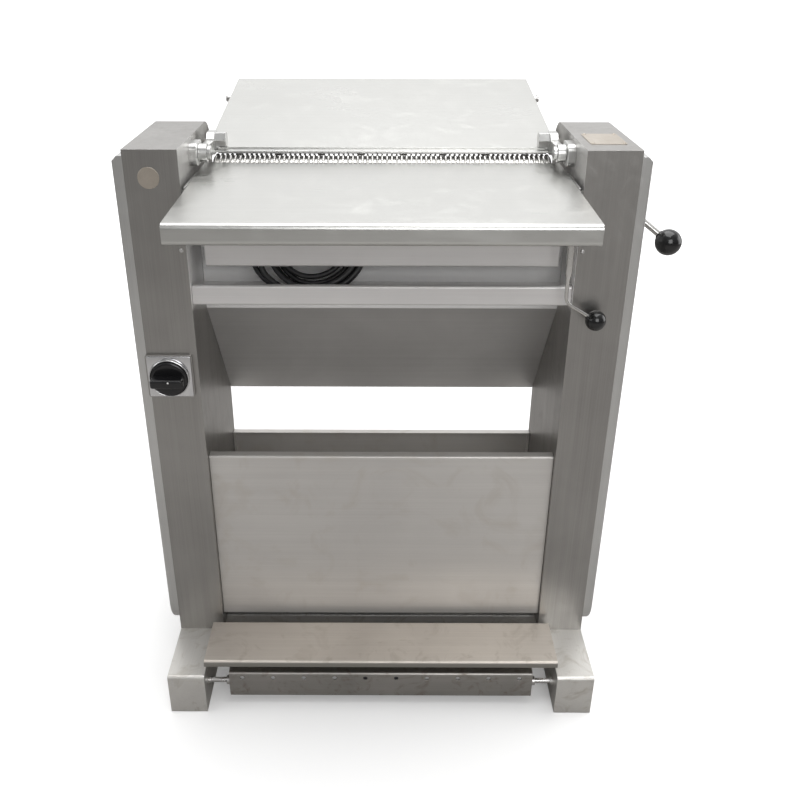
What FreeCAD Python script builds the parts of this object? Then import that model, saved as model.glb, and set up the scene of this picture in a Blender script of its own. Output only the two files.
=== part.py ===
"""Floor-standing skinning machine (derinder), 450 mm working width, all sizes in millimetres.

Frame: +X to the operator's right, +Y away from the operator, +Z up.  The origin is on the floor, at the
centre of the four floor holes in the two skids.  Depths are written as back(d), the distance d behind the
front faces of the two columns.  Heights of the working head hang from the roller axis.
"""
import FreeCAD, Part
import os
from math import cos, radians, sin, sqrt, tan, atan2, pi

V = FreeCAD.Vector
os.makedirs("parts", exist_ok=True)

# ---- overall sizes -----------------------------------------------------------------------------
BAY_HALF = 258.8          # centre plane to the inner face of a column
COLUMN_WIDTH = 71.2
COLUMN_DEPTH = 235.0
COLUMN_TOP = 850.0
COLUMN_WALL = 2.5
COLUMN_REAR_ROUND = 40.0
COLUMN_RIM = 14.0         # rim round the open outer side
FOOT_HEIGHT = 71.5
FOOT_WIDTH = 57.0
FOOT_LENGTH = 457.0
FOOT_WALL = 3.0
FLOOR_HOLE_R = 6.5
FLOOR_HOLE_SPACING_Y = 400.0
COVER_DEPTH = 14.0
COVER_WALL = 2.0
COVER_TOP_DROP = 8.0      # column top to cover top
COVER_BOTTOM = 73.0
COVER_ROUND = 48.0
COVER_BEVEL = 7.0

# ---- sheet work between the columns ------------------------------------------------------------
SIDE_GAP = 0.5            # sheet edge to column
SHEET = 2.0
PANEL_BOTTOM = 95.0
FRONT_PANEL_TOP = 396.0
FRONT_PANEL_SETBACK = 10.0
REAR_PANEL_TOP = 320.0
PANEL_FLANGE = 14.0
HEM = 10.0
LID_Z = 248.0
SHELF_THICKNESS = 3.0
CROSSTUBE = 40.0
CROSSTUBE_WALL = 3.0

# ---- working head ------------------------------------------------------------------------------
ROLLER_R = 40.0
ROLLER_HALF = 240.0
ROLLER_SETBACK = 155.0
ROLLER_BELOW_TOP = 78.0   # column top to roller axis
RING_COUNT = 69
RING_PITCH = 2 * ROLLER_HALF / RING_COUNT
RING_WIDTH = 3.5
RING_DEPTH = 3.0
SHAFT_R = 12.0
RUNNING = 0.05            # radial clearance of a shaft in its bearing
BEARING_FLANGE_R = 30.0
BEARING_HUB_R = 20.0
BEARING_SPIGOT_R = 17.0
BEARING_FLANGE = 6.0
BEARING_LENGTH = 20.0
TABLE_HALF = 250.0
TABLE_FRONT = -164.0      # reach in front of the columns
TABLE_FALL = 5.0
TABLE_SHEET = 2.5
TABLE_LIP = 26.0
TABLE_SIDE_LIP = 16.0
TABLE_BEND = 4.0
TABLE_TO_ROLLER = 1.8
OUTFEED_HALF = 250.0
OUTFEED_LENGTH = 338.0
OUTFEED_TILT = 8.26       # degrees
OUTFEED_SHEET = 2.0
OUTFEED_LIP = 12.0
OUTFEED_NOTCH = 16.5
BLADE_GAP = 0.7
BLADE_THICKNESS = 1.0
BLADE_WIDTH = 25.0

# ---- carrier pivot and levers ------------------------------------------------------------------
PIVOT_SETBACK = 88.0
PIVOT_ABOVE_AXIS = 56.0
PIVOT_PIN_R = 6.0
ARM_WIDTH = 11.0
ARM_EYE_R = 12.0
NUT_R = 11.0              # hexagon on the inner side of each arm
NUT_LENGTH = 15.0
LIFT_SHAFT_R = 8.0
LIFT_SETBACK = 106.0
LIFT_ABOVE_AXIS = 12.0
LIFT_KNOB_R = 18.5
LIFT_ROD_R = 4.6
ADJUST_SHAFT_R = 8.0
ADJUST_SETBACK = -20.0
ADJUST_BELOW_AXIS = 24.0
FRONT_KNOB_R = 14.0

# ---- pedal -------------------------------------------------------------------------------------
PEDAL_HALF = 273.0
PEDAL_TOP = 94.7
PEDAL_SHEET = 3.0
PEDAL_BACK = -12.0
PEDAL_FRONT = -102.0
PEDAL_LIP = 10.0
PEDAL_TRAVEL = 7.0        # degrees
PEDAL_SHAFT_R = 8.0
BEAM_HALF = 238.0
BEAM_SETBACK = -94.0
BEAM_BOTTOM = 16.0
BEAM_TOP = 64.0
BEAM_HOLE_R = 3.6
BEAM_HOLE_PITCH = 48.3
BEAM_HOLES = 10
BEAM_HOLE_Z = 54.0

# ---- drive -------------------------------------------------------------------------------------
MOTOR_R = 58.0
MOTOR_OVER_SHELF = 0.5      # fan cover to the shelf
MOTOR_AXIS_Z = FOOT_HEIGHT + SHELF_THICKNESS + MOTOR_R - 1.0 + MOTOR_OVER_SHELF
MOTOR_LENGTH = 205.0
GEARBOX_LENGTH = 96.0
GEARBOX_HALF = 55.0
SPROCKET_R = 38.0
SPROCKET_RATIO = 1.5
SPROCKET_WIDTH = 6.0
CHAIN_THICKNESS = 8.0
CHAIN_WIDTH = 9.0
CHAIN_CLEAR = 0.5

# ---- switch, plates and cord -------------------------------------------------------------------
SWITCH_INSET = 40.2          # inner face of the column to the switch
SWITCH_X = -(BAY_HALF + SWITCH_INSET)
SWITCH_Z = 535.0
SWITCH_PLATE = 66.0
SWITCH_PLATE_THICKNESS = 4.0
ESCUTCHEON = 62.0
ESCUTCHEON_THICKNESS = 2.0
SWITCH_RING_R = 28.5
SWITCH_KNOB_R = 26.0
SWITCH_BOSS_R = 11.5
BADGE_R = 14.0
CORD_R = 3.75
COIL_RING_R = 59.0
COIL_BUNDLE_R = 12.0
COIL_LEAN = 65.0          # degrees from flat
COIL_X = -99.0
COIL_SETBACK = 52.0
PLUG_R = 13.0

# ---- values that follow ------------------------------------------------------------------------
COLUMN_OUT = BAY_HALF + COLUMN_WIDTH
COVER_OUT = COLUMN_OUT + COVER_DEPTH
FOOT_IN = COLUMN_OUT - FOOT_WIDTH
SHEET_HALF = BAY_HALF - SIDE_GAP
AXIS_Z = COLUMN_TOP - ROLLER_BELOW_TOP
ARM_IN = ROLLER_HALF - 3.0
ARM_OUT = ARM_IN + ARM_WIDTH
PIVOT_Z = AXIS_Z + PIVOT_ABOVE_AXIS
LIFT_Z = AXIS_Z + LIFT_ABOVE_AXIS
ADJUST_Z = AXIS_Z - ADJUST_BELOW_AXIS
TROUGH_FLOOR = AXIS_Z - 131.0
CROSSBAR_TOP = TROUGH_FLOOR + 26.0
CHUTE_LIP_Z = AXIS_Z - 169.0
CHUTE_END_Z = FRONT_PANEL_TOP + 7.0
CHUTE_SETBACK = 94.0
APRON_SETBACK = 23.0
APRON_HALF = 240.0
APRON_BOTTOM = AXIS_Z - 84.0
APRON_TOP = AXIS_Z - 4.0
PEDAL_AXIS_Z = FOOT_HEIGHT - 14.0


def back(distance):
    """Y of a point this far behind the front faces of the columns."""
    return distance - COLUMN_DEPTH / 2


# ---- shape helpers -----------------------------------------------------------------------------
def block(x0, x1, y0, y1, z0, z1):
    return Part.makeBox(x1 - x0, y1 - y0, z1 - z0, V(x0, y0, z0))


def rod_x(x0, x1, y, z, radius):
    return Part.makeCylinder(radius, x1 - x0, V(x0, y, z), V(1, 0, 0))


def rod_y(x, y0, y1, z, radius):
    return Part.makeCylinder(radius, y1 - y0, V(x, y0, z), V(0, 1, 0))


def rod_z(x, y, z0, z1, radius):
    return Part.makeCylinder(radius, z1 - z0, V(x, y, z0), V(0, 0, 1))


def rod_between(a, b, radius):
    return Part.makeCylinder(radius, (b - a).Length, a, b - a)


def ball(centre, radius):
    return Part.makeSphere(radius, centre)


def prism_x(section, x0, x1):
    """Extrudes a closed (y, z) section from x0 to x1."""
    points = [V(x0, y, z) for y, z in section]
    return Part.Face(Part.makePolygon(points + points[:1])).extrude(V(x1 - x0, 0, 0))


def join(first, *others):
    return first.fuse(list(others)).removeSplitter()


def edges_along_x(shape, y, z):
    """The straight edges parallel to X that pass through (y, z)."""
    found = []
    for edge in shape.Edges:
        ends = [v.Point for v in edge.Vertexes]
        if all(abs(p.y - y) < 1e-4 and abs(p.z - z) < 1e-4 for p in ends):
            found.append(edge)
    return found


def round_x(shape, corners, radius):
    """Fillets the edges parallel to X at each (y, z) corner."""
    edges = [edge for y, z in corners for edge in edges_along_x(shape, y, z)]
    return shape.makeFillet(radius, edges)


def folded(line, thickness, x0, x1, bend=0.0):
    """A folded sheet: a (y, z) line thickened to its left, with a radius inside each bend."""
    offset = []
    for i, (y, z) in enumerate(line):
        normals = []
        for a, b in ((i - 1, i), (i, i + 1)):
            if a >= 0 and b < len(line):
                dy = line[b][0] - line[a][0]
                dz = line[b][1] - line[a][1]
                size = sqrt(dy * dy + dz * dz)
                normals.append((-dz / size, dy / size))
        ny = sum(n[0] for n in normals) / len(normals)
        nz = sum(n[1] for n in normals) / len(normals)
        scale = thickness / (ny * ny + nz * nz)
        offset.append((y + ny * scale, z + nz * scale))
    sheet = prism_x(line + offset[::-1], x0, x1)
    if bend:
        for i in range(1, len(line) - 1):
            ay, az = line[i][0] - line[i - 1][0], line[i][1] - line[i - 1][1]
            by, bz = line[i + 1][0] - line[i][0], line[i + 1][1] - line[i][1]
            left_turn = ay * bz - az * by > 0
            inner, outer = (offset[i], line[i]) if left_turn else (line[i], offset[i])
            sheet = round_x(sheet, [inner], bend)
            sheet = round_x(sheet, [outer], bend + thickness)
    return sheet


def tube_rect(x0, x1, y0, y1, z0, z1, wall):
    inside = block(x0 - 1, x1 + 1, y0 + wall, y1 - wall, z0 + wall, z1 - wall)
    return block(x0, x1, y0, y1, z0, z1).cut(inside)


def mirrored(shape):
    return shape.mirror(V(0, 0, 0), V(1, 0, 0))


def screw(base, direction, length, shank_r, head_r, head_height):
    """A button-head screw whose head seats at base and whose shank runs along direction."""
    shank = Part.makeCylinder(shank_r, length, base, direction)
    head = Part.makeCylinder(head_r, head_height, base - direction * head_height, direction)
    crown = base - direction * head_height
    rim = [e for e in head.Edges if e.Curve.TypeId == "Part::GeomCircle"
           and (e.Curve.Center - crown).Length < 1e-6]
    head = head.makeFillet(head_height * 0.6, rim)
    return shank.fuse(head).removeSplitter()


def save(name, *solids):
    shape = solids[0] if len(solids) == 1 else Part.makeCompound(list(solids))
    shape.exportStep("parts/" + name + ".step")


def drill(host, tools):
    """Cuts each tool out of its host, so that fasteners fit face to face."""
    return host.cut(list(tools)) if tools else host


# ---- skids and base ----------------------------------------------------------------------------
def foot():
    """A closed sheet box with two floor holes in its underside."""
    half = FOOT_LENGTH / 2
    box = block(FOOT_IN, COLUMN_OUT, -half, half, 0, FOOT_HEIGHT)
    box = round_x(box, [(-half, FOOT_HEIGHT), (half, FOOT_HEIGHT)], 5.0)
    inside = block(FOOT_IN + FOOT_WALL, COLUMN_OUT - FOOT_WALL, FOOT_WALL - half, half - FOOT_WALL,
                   FOOT_WALL, FOOT_HEIGHT - FOOT_WALL)
    middle = (FOOT_IN + COLUMN_OUT) / 2
    holes = [rod_z(middle, side * FLOOR_HOLE_SPACING_Y / 2, -1, FOOT_WALL + 1, FLOOR_HOLE_R)
             for side in (-1, 1)]
    return box.cut([inside] + holes)


def crossmembers():
    z0 = FOOT_HEIGHT - CROSSTUBE
    for_front = tube_rect(-FOOT_IN, FOOT_IN, back(40), back(40) + CROSSTUBE, z0, FOOT_HEIGHT,
                          CROSSTUBE_WALL)
    for_rear = tube_rect(-FOOT_IN, FOOT_IN, back(185), back(185) + CROSSTUBE, z0, FOOT_HEIGHT,
                         CROSSTUBE_WALL)
    return for_front, for_rear


def motor_shelf():
    return block(-SHEET_HALF, SHEET_HALF, back(30), back(COLUMN_DEPTH - 4), FOOT_HEIGHT,
                 FOOT_HEIGHT + SHELF_THICKNESS)


# ---- columns and covers ------------------------------------------------------------------------
def column_section(inset, top, rear_round):
    """The side outline of a column, shrunk by inset, as a face in the plane x = 0."""
    y0, y1 = back(inset), back(COLUMN_DEPTH - inset)
    z0, z1 = FOOT_HEIGHT + inset, top - inset
    radius = max(rear_round - inset, 1.0)
    k = radius * (1 - sqrt(0.5))
    wire = Part.Wire([
        Part.makeLine(V(0, y0, z0), V(0, y1, z0)),
        Part.makeLine(V(0, y1, z0), V(0, y1, z1 - radius)),
        Part.Arc(V(0, y1, z1 - radius), V(0, y1 - k, z1 - k), V(0, y1 - radius, z1)).toShape(),
        Part.makeLine(V(0, y1 - radius, z1), V(0, y0, z1)),
        Part.makeLine(V(0, y0, z1), V(0, y0, z0)),
    ])
    return Part.Face(wire)


def slab(face, x0, x1):
    moved = face.copy()
    moved.translate(V(x0, 0, 0))
    return moved.extrude(V(x1 - x0, 0, 0))


def right_column_blank():
    """A folded box with a rim round its open outer side."""
    shell = slab(column_section(0, COLUMN_TOP, COLUMN_REAR_ROUND), BAY_HALF, COLUMN_OUT)
    hollow = slab(column_section(COLUMN_WALL, COLUMN_TOP, COLUMN_REAR_ROUND),
                  BAY_HALF + COLUMN_WALL, COLUMN_OUT - COLUMN_WALL)
    window = slab(column_section(COLUMN_RIM, COLUMN_TOP, COLUMN_REAR_ROUND),
                  COLUMN_OUT - COLUMN_WALL - 1, COLUMN_OUT + 1)
    return shell.cut([hollow, window])


def right_cover_blank():
    """A shallow pan with rounded lower corners and a bevelled top edge."""
    y0, y1 = back(0), back(COLUMN_DEPTH)
    z1 = COLUMN_TOP - COVER_TOP_DROP

    def outline(inset):
        r = COVER_ROUND - inset
        a, b, c, d = y0 + inset, y1 - inset, COVER_BOTTOM + inset, z1 - inset
        k = r * (1 - sqrt(0.5))
        q = COLUMN_REAR_ROUND - inset
        j = q * (1 - sqrt(0.5))
        return Part.Face(Part.Wire([
            Part.makeLine(V(0, a + r, c), V(0, b - r, c)),
            Part.Arc(V(0, b - r, c), V(0, b - k, c + k), V(0, b, c + r)).toShape(),
            Part.makeLine(V(0, b, c + r), V(0, b, d - q)),
            Part.Arc(V(0, b, d - q), V(0, b - j, d - j), V(0, b - q, d)).toShape(),
            Part.makeLine(V(0, b - q, d), V(0, a, d)),
            Part.makeLine(V(0, a, d), V(0, a, c + r)),
            Part.Arc(V(0, a, c + r), V(0, a + k, c + k), V(0, a + r, c)).toShape(),
        ]))

    pan = slab(outline(0), COLUMN_OUT, COVER_OUT)
    rim = [e for e in pan.Edges if all(abs(v.Point.x - COVER_OUT) < 1e-4 for v in e.Vertexes)]
    pan = pan.makeFillet(3.0, rim)
    bevel = Part.Face(Part.makePolygon([V(COVER_OUT - COVER_BEVEL, y0 - 1, z1 + 0.01),
                                        V(COVER_OUT + 1, y0 - 1, z1 + 0.01),
                                        V(COVER_OUT + 1, y0 - 1, z1 - COVER_BEVEL - 1),
                                        V(COVER_OUT - COVER_BEVEL, y0 - 1, z1 + 0.01)]))
    pan = pan.cut(bevel.extrude(V(0, COLUMN_DEPTH + 2, 0)))
    return pan.cut(slab(outline(COVER_WALL), COLUMN_OUT - 1, COVER_OUT - COVER_WALL - 2.5))


COVER_SCREW_PLACES = [(back(22), COLUMN_TOP - 40), (back(COLUMN_DEPTH - 22), COLUMN_TOP - 60),
                      (back(22), COVER_BOTTOM + 62), (back(COLUMN_DEPTH - 22), COVER_BOTTOM + 62)]


def cover_screws():
    """Four button-head screws through a cover; their shanks stop in the column's rim plane."""
    return [screw(V(COVER_OUT, y, z), V(-1, 0, 0), COVER_WALL + 2.5, 2.5, 4.8, 2.8)
            for y, z in COVER_SCREW_PLACES]


# ---- sheet work --------------------------------------------------------------------------------
def front_panel():
    y = back(FRONT_PANEL_SETBACK)
    inner = PANEL_BOTTOM + HEM
    line = [(y + HEM, PANEL_BOTTOM), (y, PANEL_BOTTOM), (y, FRONT_PANEL_TOP),
            (y + PANEL_FLANGE, FRONT_PANEL_TOP)]
    sheet = folded(line[::-1], SHEET, -SHEET_HALF, SHEET_HALF, 1.5)
    ears = [block(side * SHEET_HALF - (SHEET if side > 0 else 0),
                  side * SHEET_HALF + (SHEET if side < 0 else 0),
                  y + SHEET, y + PANEL_FLANGE, inner, FRONT_PANEL_TOP - SHEET - 1)
            for side in (-1, 1)]
    return join(sheet, *ears)


def rear_panel():
    y = back(COLUMN_DEPTH - 2)
    line = [(y - HEM, PANEL_BOTTOM), (y, PANEL_BOTTOM), (y, REAR_PANEL_TOP),
            (y - PANEL_FLANGE, REAR_PANEL_TOP)]
    sheet = folded(line, SHEET, -SHEET_HALF, SHEET_HALF, 1.5)
    ears = [block(side * SHEET_HALF - (SHEET if side > 0 else 0),
                  side * SHEET_HALF + (SHEET if side < 0 else 0),
                  y - PANEL_FLANGE, y - SHEET, PANEL_BOTTOM + HEM, REAR_PANEL_TOP - SHEET - 1)
            for side in (-1, 1)]
    return join(sheet, *ears)


def compartment_lid():
    y0 = back(FRONT_PANEL_SETBACK) + PANEL_FLANGE + 1
    y1 = back(COLUMN_DEPTH - 2) - PANEL_FLANGE - 1
    line = [(y0, LID_Z - 14), (y0, LID_Z), (y1, LID_Z), (y1, LID_Z - 14)]
    return folded(line[::-1], SHEET, -SHEET_HALF, SHEET_HALF, 1.5)


def crossbar():
    """An angle that closes the front of the trough."""
    y = back(5)
    line = [(y + 14, TROUGH_FLOOR - SHEET), (y, TROUGH_FLOOR - SHEET), (y, CROSSBAR_TOP),
            (y + 8, CROSSBAR_TOP)]
    return folded(line[::-1], SHEET, -SHEET_HALF, SHEET_HALF, 1.2)


def trough_floor():
    return block(-SHEET_HALF, SHEET_HALF, back(5) + SHEET + 1.3, back(CHUTE_SETBACK) - SHEET,
                 TROUGH_FLOOR, TROUGH_FLOOR + SHEET)


def chute():
    """One sheet: the trough's back wall, a rounded lip, and the slide that runs down to the rear."""
    y0, y1 = back(CHUTE_SETBACK), back(COLUMN_DEPTH + 1)
    line = [(y0, AXIS_Z - 32), (y0, CHUTE_LIP_Z), (y1, CHUTE_END_Z)]
    return folded(line[::-1], SHEET, -SHEET_HALF, SHEET_HALF, 5.0)


def chute_cleats():
    """Angles under the slide's two edges, screwed to the columns."""
    y0, y1 = back(CHUTE_SETBACK), back(COLUMN_DEPTH + 1)
    slope = (CHUTE_END_Z - CHUTE_LIP_Z) / (y1 - y0)
    lift = 3.0 * sqrt(1 + slope * slope)
    ya, yb = y0 + 34, y1 - 34
    za, zb = CHUTE_LIP_Z + slope * (ya - y0) + lift, CHUTE_LIP_Z + slope * (yb - y0) + lift
    cleat = prism_x([(ya, za), (yb, zb), (yb + 10, zb + 14), (ya + 10, za + 14)],
                    SHEET_HALF - 3, BAY_HALF)
    return cleat, mirrored(cleat)


def apron():
    y = back(APRON_SETBACK)
    line = [(y + 5, APRON_BOTTOM), (y, APRON_BOTTOM), (y, APRON_TOP), (y + 30, APRON_TOP)]
    return folded(line[::-1], SHEET, -APRON_HALF, APRON_HALF, 1.5)


def upper_beam():
    """The bar between the columns that the apron hangs on."""
    y = back(APRON_SETBACK) + SHEET + 2
    return tube_rect(-BAY_HALF, BAY_HALF, y, y + 20, APRON_TOP - SHEET - 16, APRON_TOP - SHEET, 2.0)


# ---- infeed table ------------------------------------------------------------------------------
TABLE_BACK_Z = AXIS_Z + 34.0
TABLE_BACK = back(ROLLER_SETBACK - sqrt(ROLLER_R ** 2 - (34.0 - TABLE_SHEET) ** 2) - TABLE_TO_ROLLER)
TABLE_FRONT_Y = back(TABLE_FRONT)
TABLE_FRONT_Z = TABLE_BACK_Z - TABLE_FALL


def table_z(y):
    """Height of the table's top at depth y."""
    return TABLE_BACK_Z - TABLE_FALL * (TABLE_BACK - y) / (TABLE_BACK - TABLE_FRONT_Y)


def infeed_table():
    lip_z = TABLE_FRONT_Z - TABLE_LIP
    line = [(TABLE_FRONT_Y + 12, lip_z), (TABLE_FRONT_Y, lip_z), (TABLE_FRONT_Y, TABLE_FRONT_Z),
            (TABLE_BACK, TABLE_BACK_Z)]
    top = folded(line[::-1], TABLE_SHEET, -TABLE_HALF, TABLE_HALF, TABLE_BEND)
    y0, y1 = TABLE_FRONT_Y + TABLE_SHEET, back(2)
    lip = prism_x([(y0, table_z(y0) - TABLE_SHEET / 2), (y1, table_z(y1) - TABLE_SHEET / 2),
                   (y1, table_z(y1) - TABLE_SIDE_LIP), (y0 + 3, table_z(y0) - TABLE_LIP + 4)],
                  TABLE_HALF - TABLE_SHEET, TABLE_HALF)
    return join(top, lip, mirrored(lip))


def table_brackets():
    """Angles on the columns that the table rests on, with a thin guard strip beside each side lip."""
    y0, y1 = back(4), back(92)
    under = TABLE_SHEET + 0.01
    rest = prism_x([(y0, table_z(y0) - under), (y1, table_z(y1) - under),
                    (y1, table_z(y1) - under - 3), (y0, table_z(y0) - under - 3)],
                   TABLE_HALF - 34, TABLE_HALF - TABLE_SHEET - 0.5)
    leg = prism_x([(y0, table_z(y0) - under - 3), (y1, table_z(y1) - under - 3),
                   (y1, table_z(y1) - under - 20), (y0, table_z(y0) - under - 20)],
                  TABLE_HALF - TABLE_SHEET - 3.5, TABLE_HALF - TABLE_SHEET - 0.5)
    pads = [rod_x(TABLE_HALF - TABLE_SHEET - 0.5, BAY_HALF, y, AXIS_Z + 16, 5)
            for y in (back(24), back(74))]
    guard = block(TABLE_HALF + 2.5, TABLE_HALF + 5.5, back(2), back(86), AXIS_Z, table_z(back(2)) - 2)
    angle = join(rest, leg, guard, *pads)
    return angle, mirrored(angle)


# ---- roller and its drive ----------------------------------------------------------------------
def tooth_roller():
    """A roller of raised rings, turned from one bar, bored for its shaft."""
    low = ROLLER_R - RING_DEPTH
    points = [V(-ROLLER_HALF, 0, SHAFT_R), V(-ROLLER_HALF, 0, low)]
    for i in range(RING_COUNT):
        start = -ROLLER_HALF + i * RING_PITCH + (RING_PITCH - RING_WIDTH) / 2
        points += [V(start, 0, low), V(start, 0, ROLLER_R), V(start + RING_WIDTH, 0, ROLLER_R),
                   V(start + RING_WIDTH, 0, low)]
    points += [V(ROLLER_HALF, 0, low), V(ROLLER_HALF, 0, SHAFT_R)]
    face = Part.Face(Part.makePolygon(points + points[:1]))
    body = face.revolve(V(0, 0, 0), V(1, 0, 0), 360)
    body.translate(V(0, back(ROLLER_SETBACK), AXIS_Z))
    return body


SPROCKET_X = -(BAY_HALF + 36.0)
MOTOR_SPROCKET_R = SPROCKET_R / SPROCKET_RATIO


def sprocket(y, z, radius, bore):
    disc = rod_x(SPROCKET_X - SPROCKET_WIDTH / 2, SPROCKET_X + SPROCKET_WIDTH / 2, y, z, radius)
    hub = rod_x(SPROCKET_X + SPROCKET_WIDTH / 2, SPROCKET_X + SPROCKET_WIDTH / 2 + 9, y, z, bore + 7)
    return join(disc, hub).cut(rod_x(SPROCKET_X - 20, SPROCKET_X + 30, y, z, bore))


def drive_chain():
    """A closed chain drawn as one band round both sprockets."""
    ya, za, yb, zb = back(ROLLER_SETBACK), AXIS_Z, 0.0, MOTOR_AXIS_Z

    def loop(extra):
        ra, rb = SPROCKET_R + extra, MOTOR_SPROCKET_R + extra
        dist = sqrt((ya - yb) ** 2 + (za - zb) ** 2)
        along = atan2(za - zb, ya - yb)
        swing = atan2(sqrt(dist ** 2 - (ra - rb) ** 2), ra - rb)
        one, two = along + swing, along - swing

        def at(y, z, r, angle):
            return V(SPROCKET_X - CHAIN_WIDTH / 2, y + r * cos(angle), z + r * sin(angle))
        a1, a2 = at(ya, za, ra, one), at(ya, za, ra, two)
        b1, b2 = at(yb, zb, rb, one), at(yb, zb, rb, two)
        return Part.Face(Part.Wire([
            Part.Arc(a2, at(ya, za, ra, along), a1).toShape(),
            Part.makeLine(a1, b1),
            Part.Arc(b1, at(yb, zb, rb, along + pi), b2).toShape(),
            Part.makeLine(b2, a2),
        ]))
    outside = loop(CHAIN_CLEAR + CHAIN_THICKNESS).extrude(V(CHAIN_WIDTH, 0, 0))
    return outside.cut(loop(CHAIN_CLEAR).extrude(V(CHAIN_WIDTH, 0, 0)))


def right_bearing():
    """A flanged bearing on the inside of the column's inner wall, its spigot in the wall."""
    y, z = back(ROLLER_SETBACK), AXIS_Z
    seat = BAY_HALF + COLUMN_WALL
    flange = rod_x(seat, seat + BEARING_FLANGE, y, z, BEARING_FLANGE_R)
    hub = rod_x(seat + BEARING_FLANGE, seat + BEARING_LENGTH, y, z, BEARING_HUB_R)
    spigot = rod_x(BAY_HALF, seat, y, z, BEARING_SPIGOT_R)
    return join(flange, hub, spigot).cut(rod_x(BAY_HALF - 5, seat + 40, y, z, SHAFT_R + RUNNING))


def gearbox():
    x0 = -BAY_HALF + 12
    y, z = 0.0, MOTOR_AXIS_Z
    base = FOOT_HEIGHT + SHELF_THICKNESS
    case = block(x0, x0 + GEARBOX_LENGTH, y - GEARBOX_HALF, y + GEARBOX_HALF, base, z + GEARBOX_HALF)
    case = case.makeFillet(8, [e for e in case.Edges if abs(e.BoundBox.XLength - GEARBOX_LENGTH) < 0.1])
    foot_plate = block(x0, x0 + GEARBOX_LENGTH, y - GEARBOX_HALF - 12, y + GEARBOX_HALF + 12, base,
                       base + 8)
    boss = rod_x(x0 - 6, x0, y, z, 26)
    return join(case, foot_plate, boss).cut(rod_x(x0 - 10, x0 + 60, y, z, SHAFT_R + RUNNING))


def motor():
    x0 = -BAY_HALF + 12 + GEARBOX_LENGTH
    y, z = 0.0, MOTOR_AXIS_Z
    flange = rod_x(x0, x0 + 10, y, z, MOTOR_R - 4)
    body = rod_x(x0 + 10, x0 + MOTOR_LENGTH - 40, y, z, MOTOR_R - 4)
    fan_cover = rod_x(x0 + MOTOR_LENGTH - 40, x0 + MOTOR_LENGTH, y, z, MOTOR_R - 1)
    terminal = block(x0 + 50, x0 + 110, y - 30, y + 30, z + MOTOR_R - 12, z + MOTOR_R + 22)
    return join(flange, body, fan_cover, terminal)


def comb():
    """Strips the skin off the roller: its tines run in the grooves between the rings."""
    tine_tip = back(ROLLER_SETBACK) + ROLLER_R - 1.7
    root = back(ROLLER_SETBACK) + ROLLER_R + 5
    rear = root + 24
    half_tine = 1.0
    z = AXIS_Z - 1.0
    points = [V(-BAY_HALF, rear, z), V(-BAY_HALF, root, z)]
    for i in range(1, RING_COUNT):
        x = -ROLLER_HALF + i * RING_PITCH
        points += [V(x - half_tine, root, z), V(x - half_tine, tine_tip, z),
                   V(x + half_tine, tine_tip, z), V(x + half_tine, root, z)]
    points += [V(BAY_HALF, root, z), V(BAY_HALF, rear, z)]
    return Part.Face(Part.makePolygon(points + points[:1])).extrude(V(0, 0, 2))


# ---- blade carrier -----------------------------------------------------------------------------
ROLLER_Y = back(ROLLER_SETBACK)
BLADE_EDGE_Y = ROLLER_Y + 1.5
BLADE_Z = AXIS_Z + ROLLER_R + BLADE_GAP
OUTFEED_Y = ROLLER_Y + 2.5
OUTFEED_Z = BLADE_Z + 8.6
OUTFEED_SLOPE = tan(radians(OUTFEED_TILT))
OUTFEED_DROP = OUTFEED_SHEET / cos(radians(OUTFEED_TILT))   # plate thickness measured upright
HOLDER_BACK = ROLLER_Y + 45.0


def outfeed_z(y):
    """Height of the outfeed plate's top at depth y."""
    return OUTFEED_Z + (y - OUTFEED_Y) * OUTFEED_SLOPE


def holder_under(y):
    """Height of the knife holder's underside, where the blade lies."""
    return BLADE_Z + 1.0 - 0.038 * (y - BLADE_EDGE_Y)


def knife_holder():
    y0 = ROLLER_Y - 5
    y2, y3 = BLADE_EDGE_Y + 1.5, HOLDER_BACK
    section = [(y0, BLADE_Z + 2.6), (y0, BLADE_Z + 5.2), (OUTFEED_Y, outfeed_z(OUTFEED_Y) - OUTFEED_DROP),
               (y3, outfeed_z(y3) - OUTFEED_DROP), (y3, holder_under(y3)), (y2, holder_under(y2))]
    return prism_x(section, -ARM_IN, ARM_IN)


def blade():
    y0, y1 = BLADE_EDGE_Y + 1.5, BLADE_EDGE_Y + BLADE_WIDTH
    section = [(BLADE_EDGE_Y, holder_under(y0) - BLADE_THICKNESS + 0.1), (y0, holder_under(y0)),
               (y1, holder_under(y1)), (y1, holder_under(y1) - BLADE_THICKNESS),
               (y0, holder_under(y0) - BLADE_THICKNESS)]
    return prism_x(section, 2 - ARM_IN, ARM_IN - 2)


def blade_clamp():
    y0, y1, y2 = BLADE_EDGE_Y + 20, BLADE_EDGE_Y + BLADE_WIDTH, HOLDER_BACK - 1
    t = BLADE_THICKNESS
    section = [(y0, holder_under(y0) - t), (y1, holder_under(y1) - t), (y1, holder_under(y1)),
               (y2, holder_under(y2)), (y2, holder_under(y2) - 6), (y0 + 6, holder_under(y0) - 6)]
    return prism_x(section, 2 - ARM_IN, ARM_IN - 2)


def clamp_screws():
    count = 8
    pitch = 60.0
    y = HOLDER_BACK - 9
    z = holder_under(y) - 6
    return [screw(V((i - (count - 1) / 2) * pitch, y, z), V(0, 0, 1), 11, 3.0, 5.2, 3.2)
            for i in range(count)]


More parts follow.
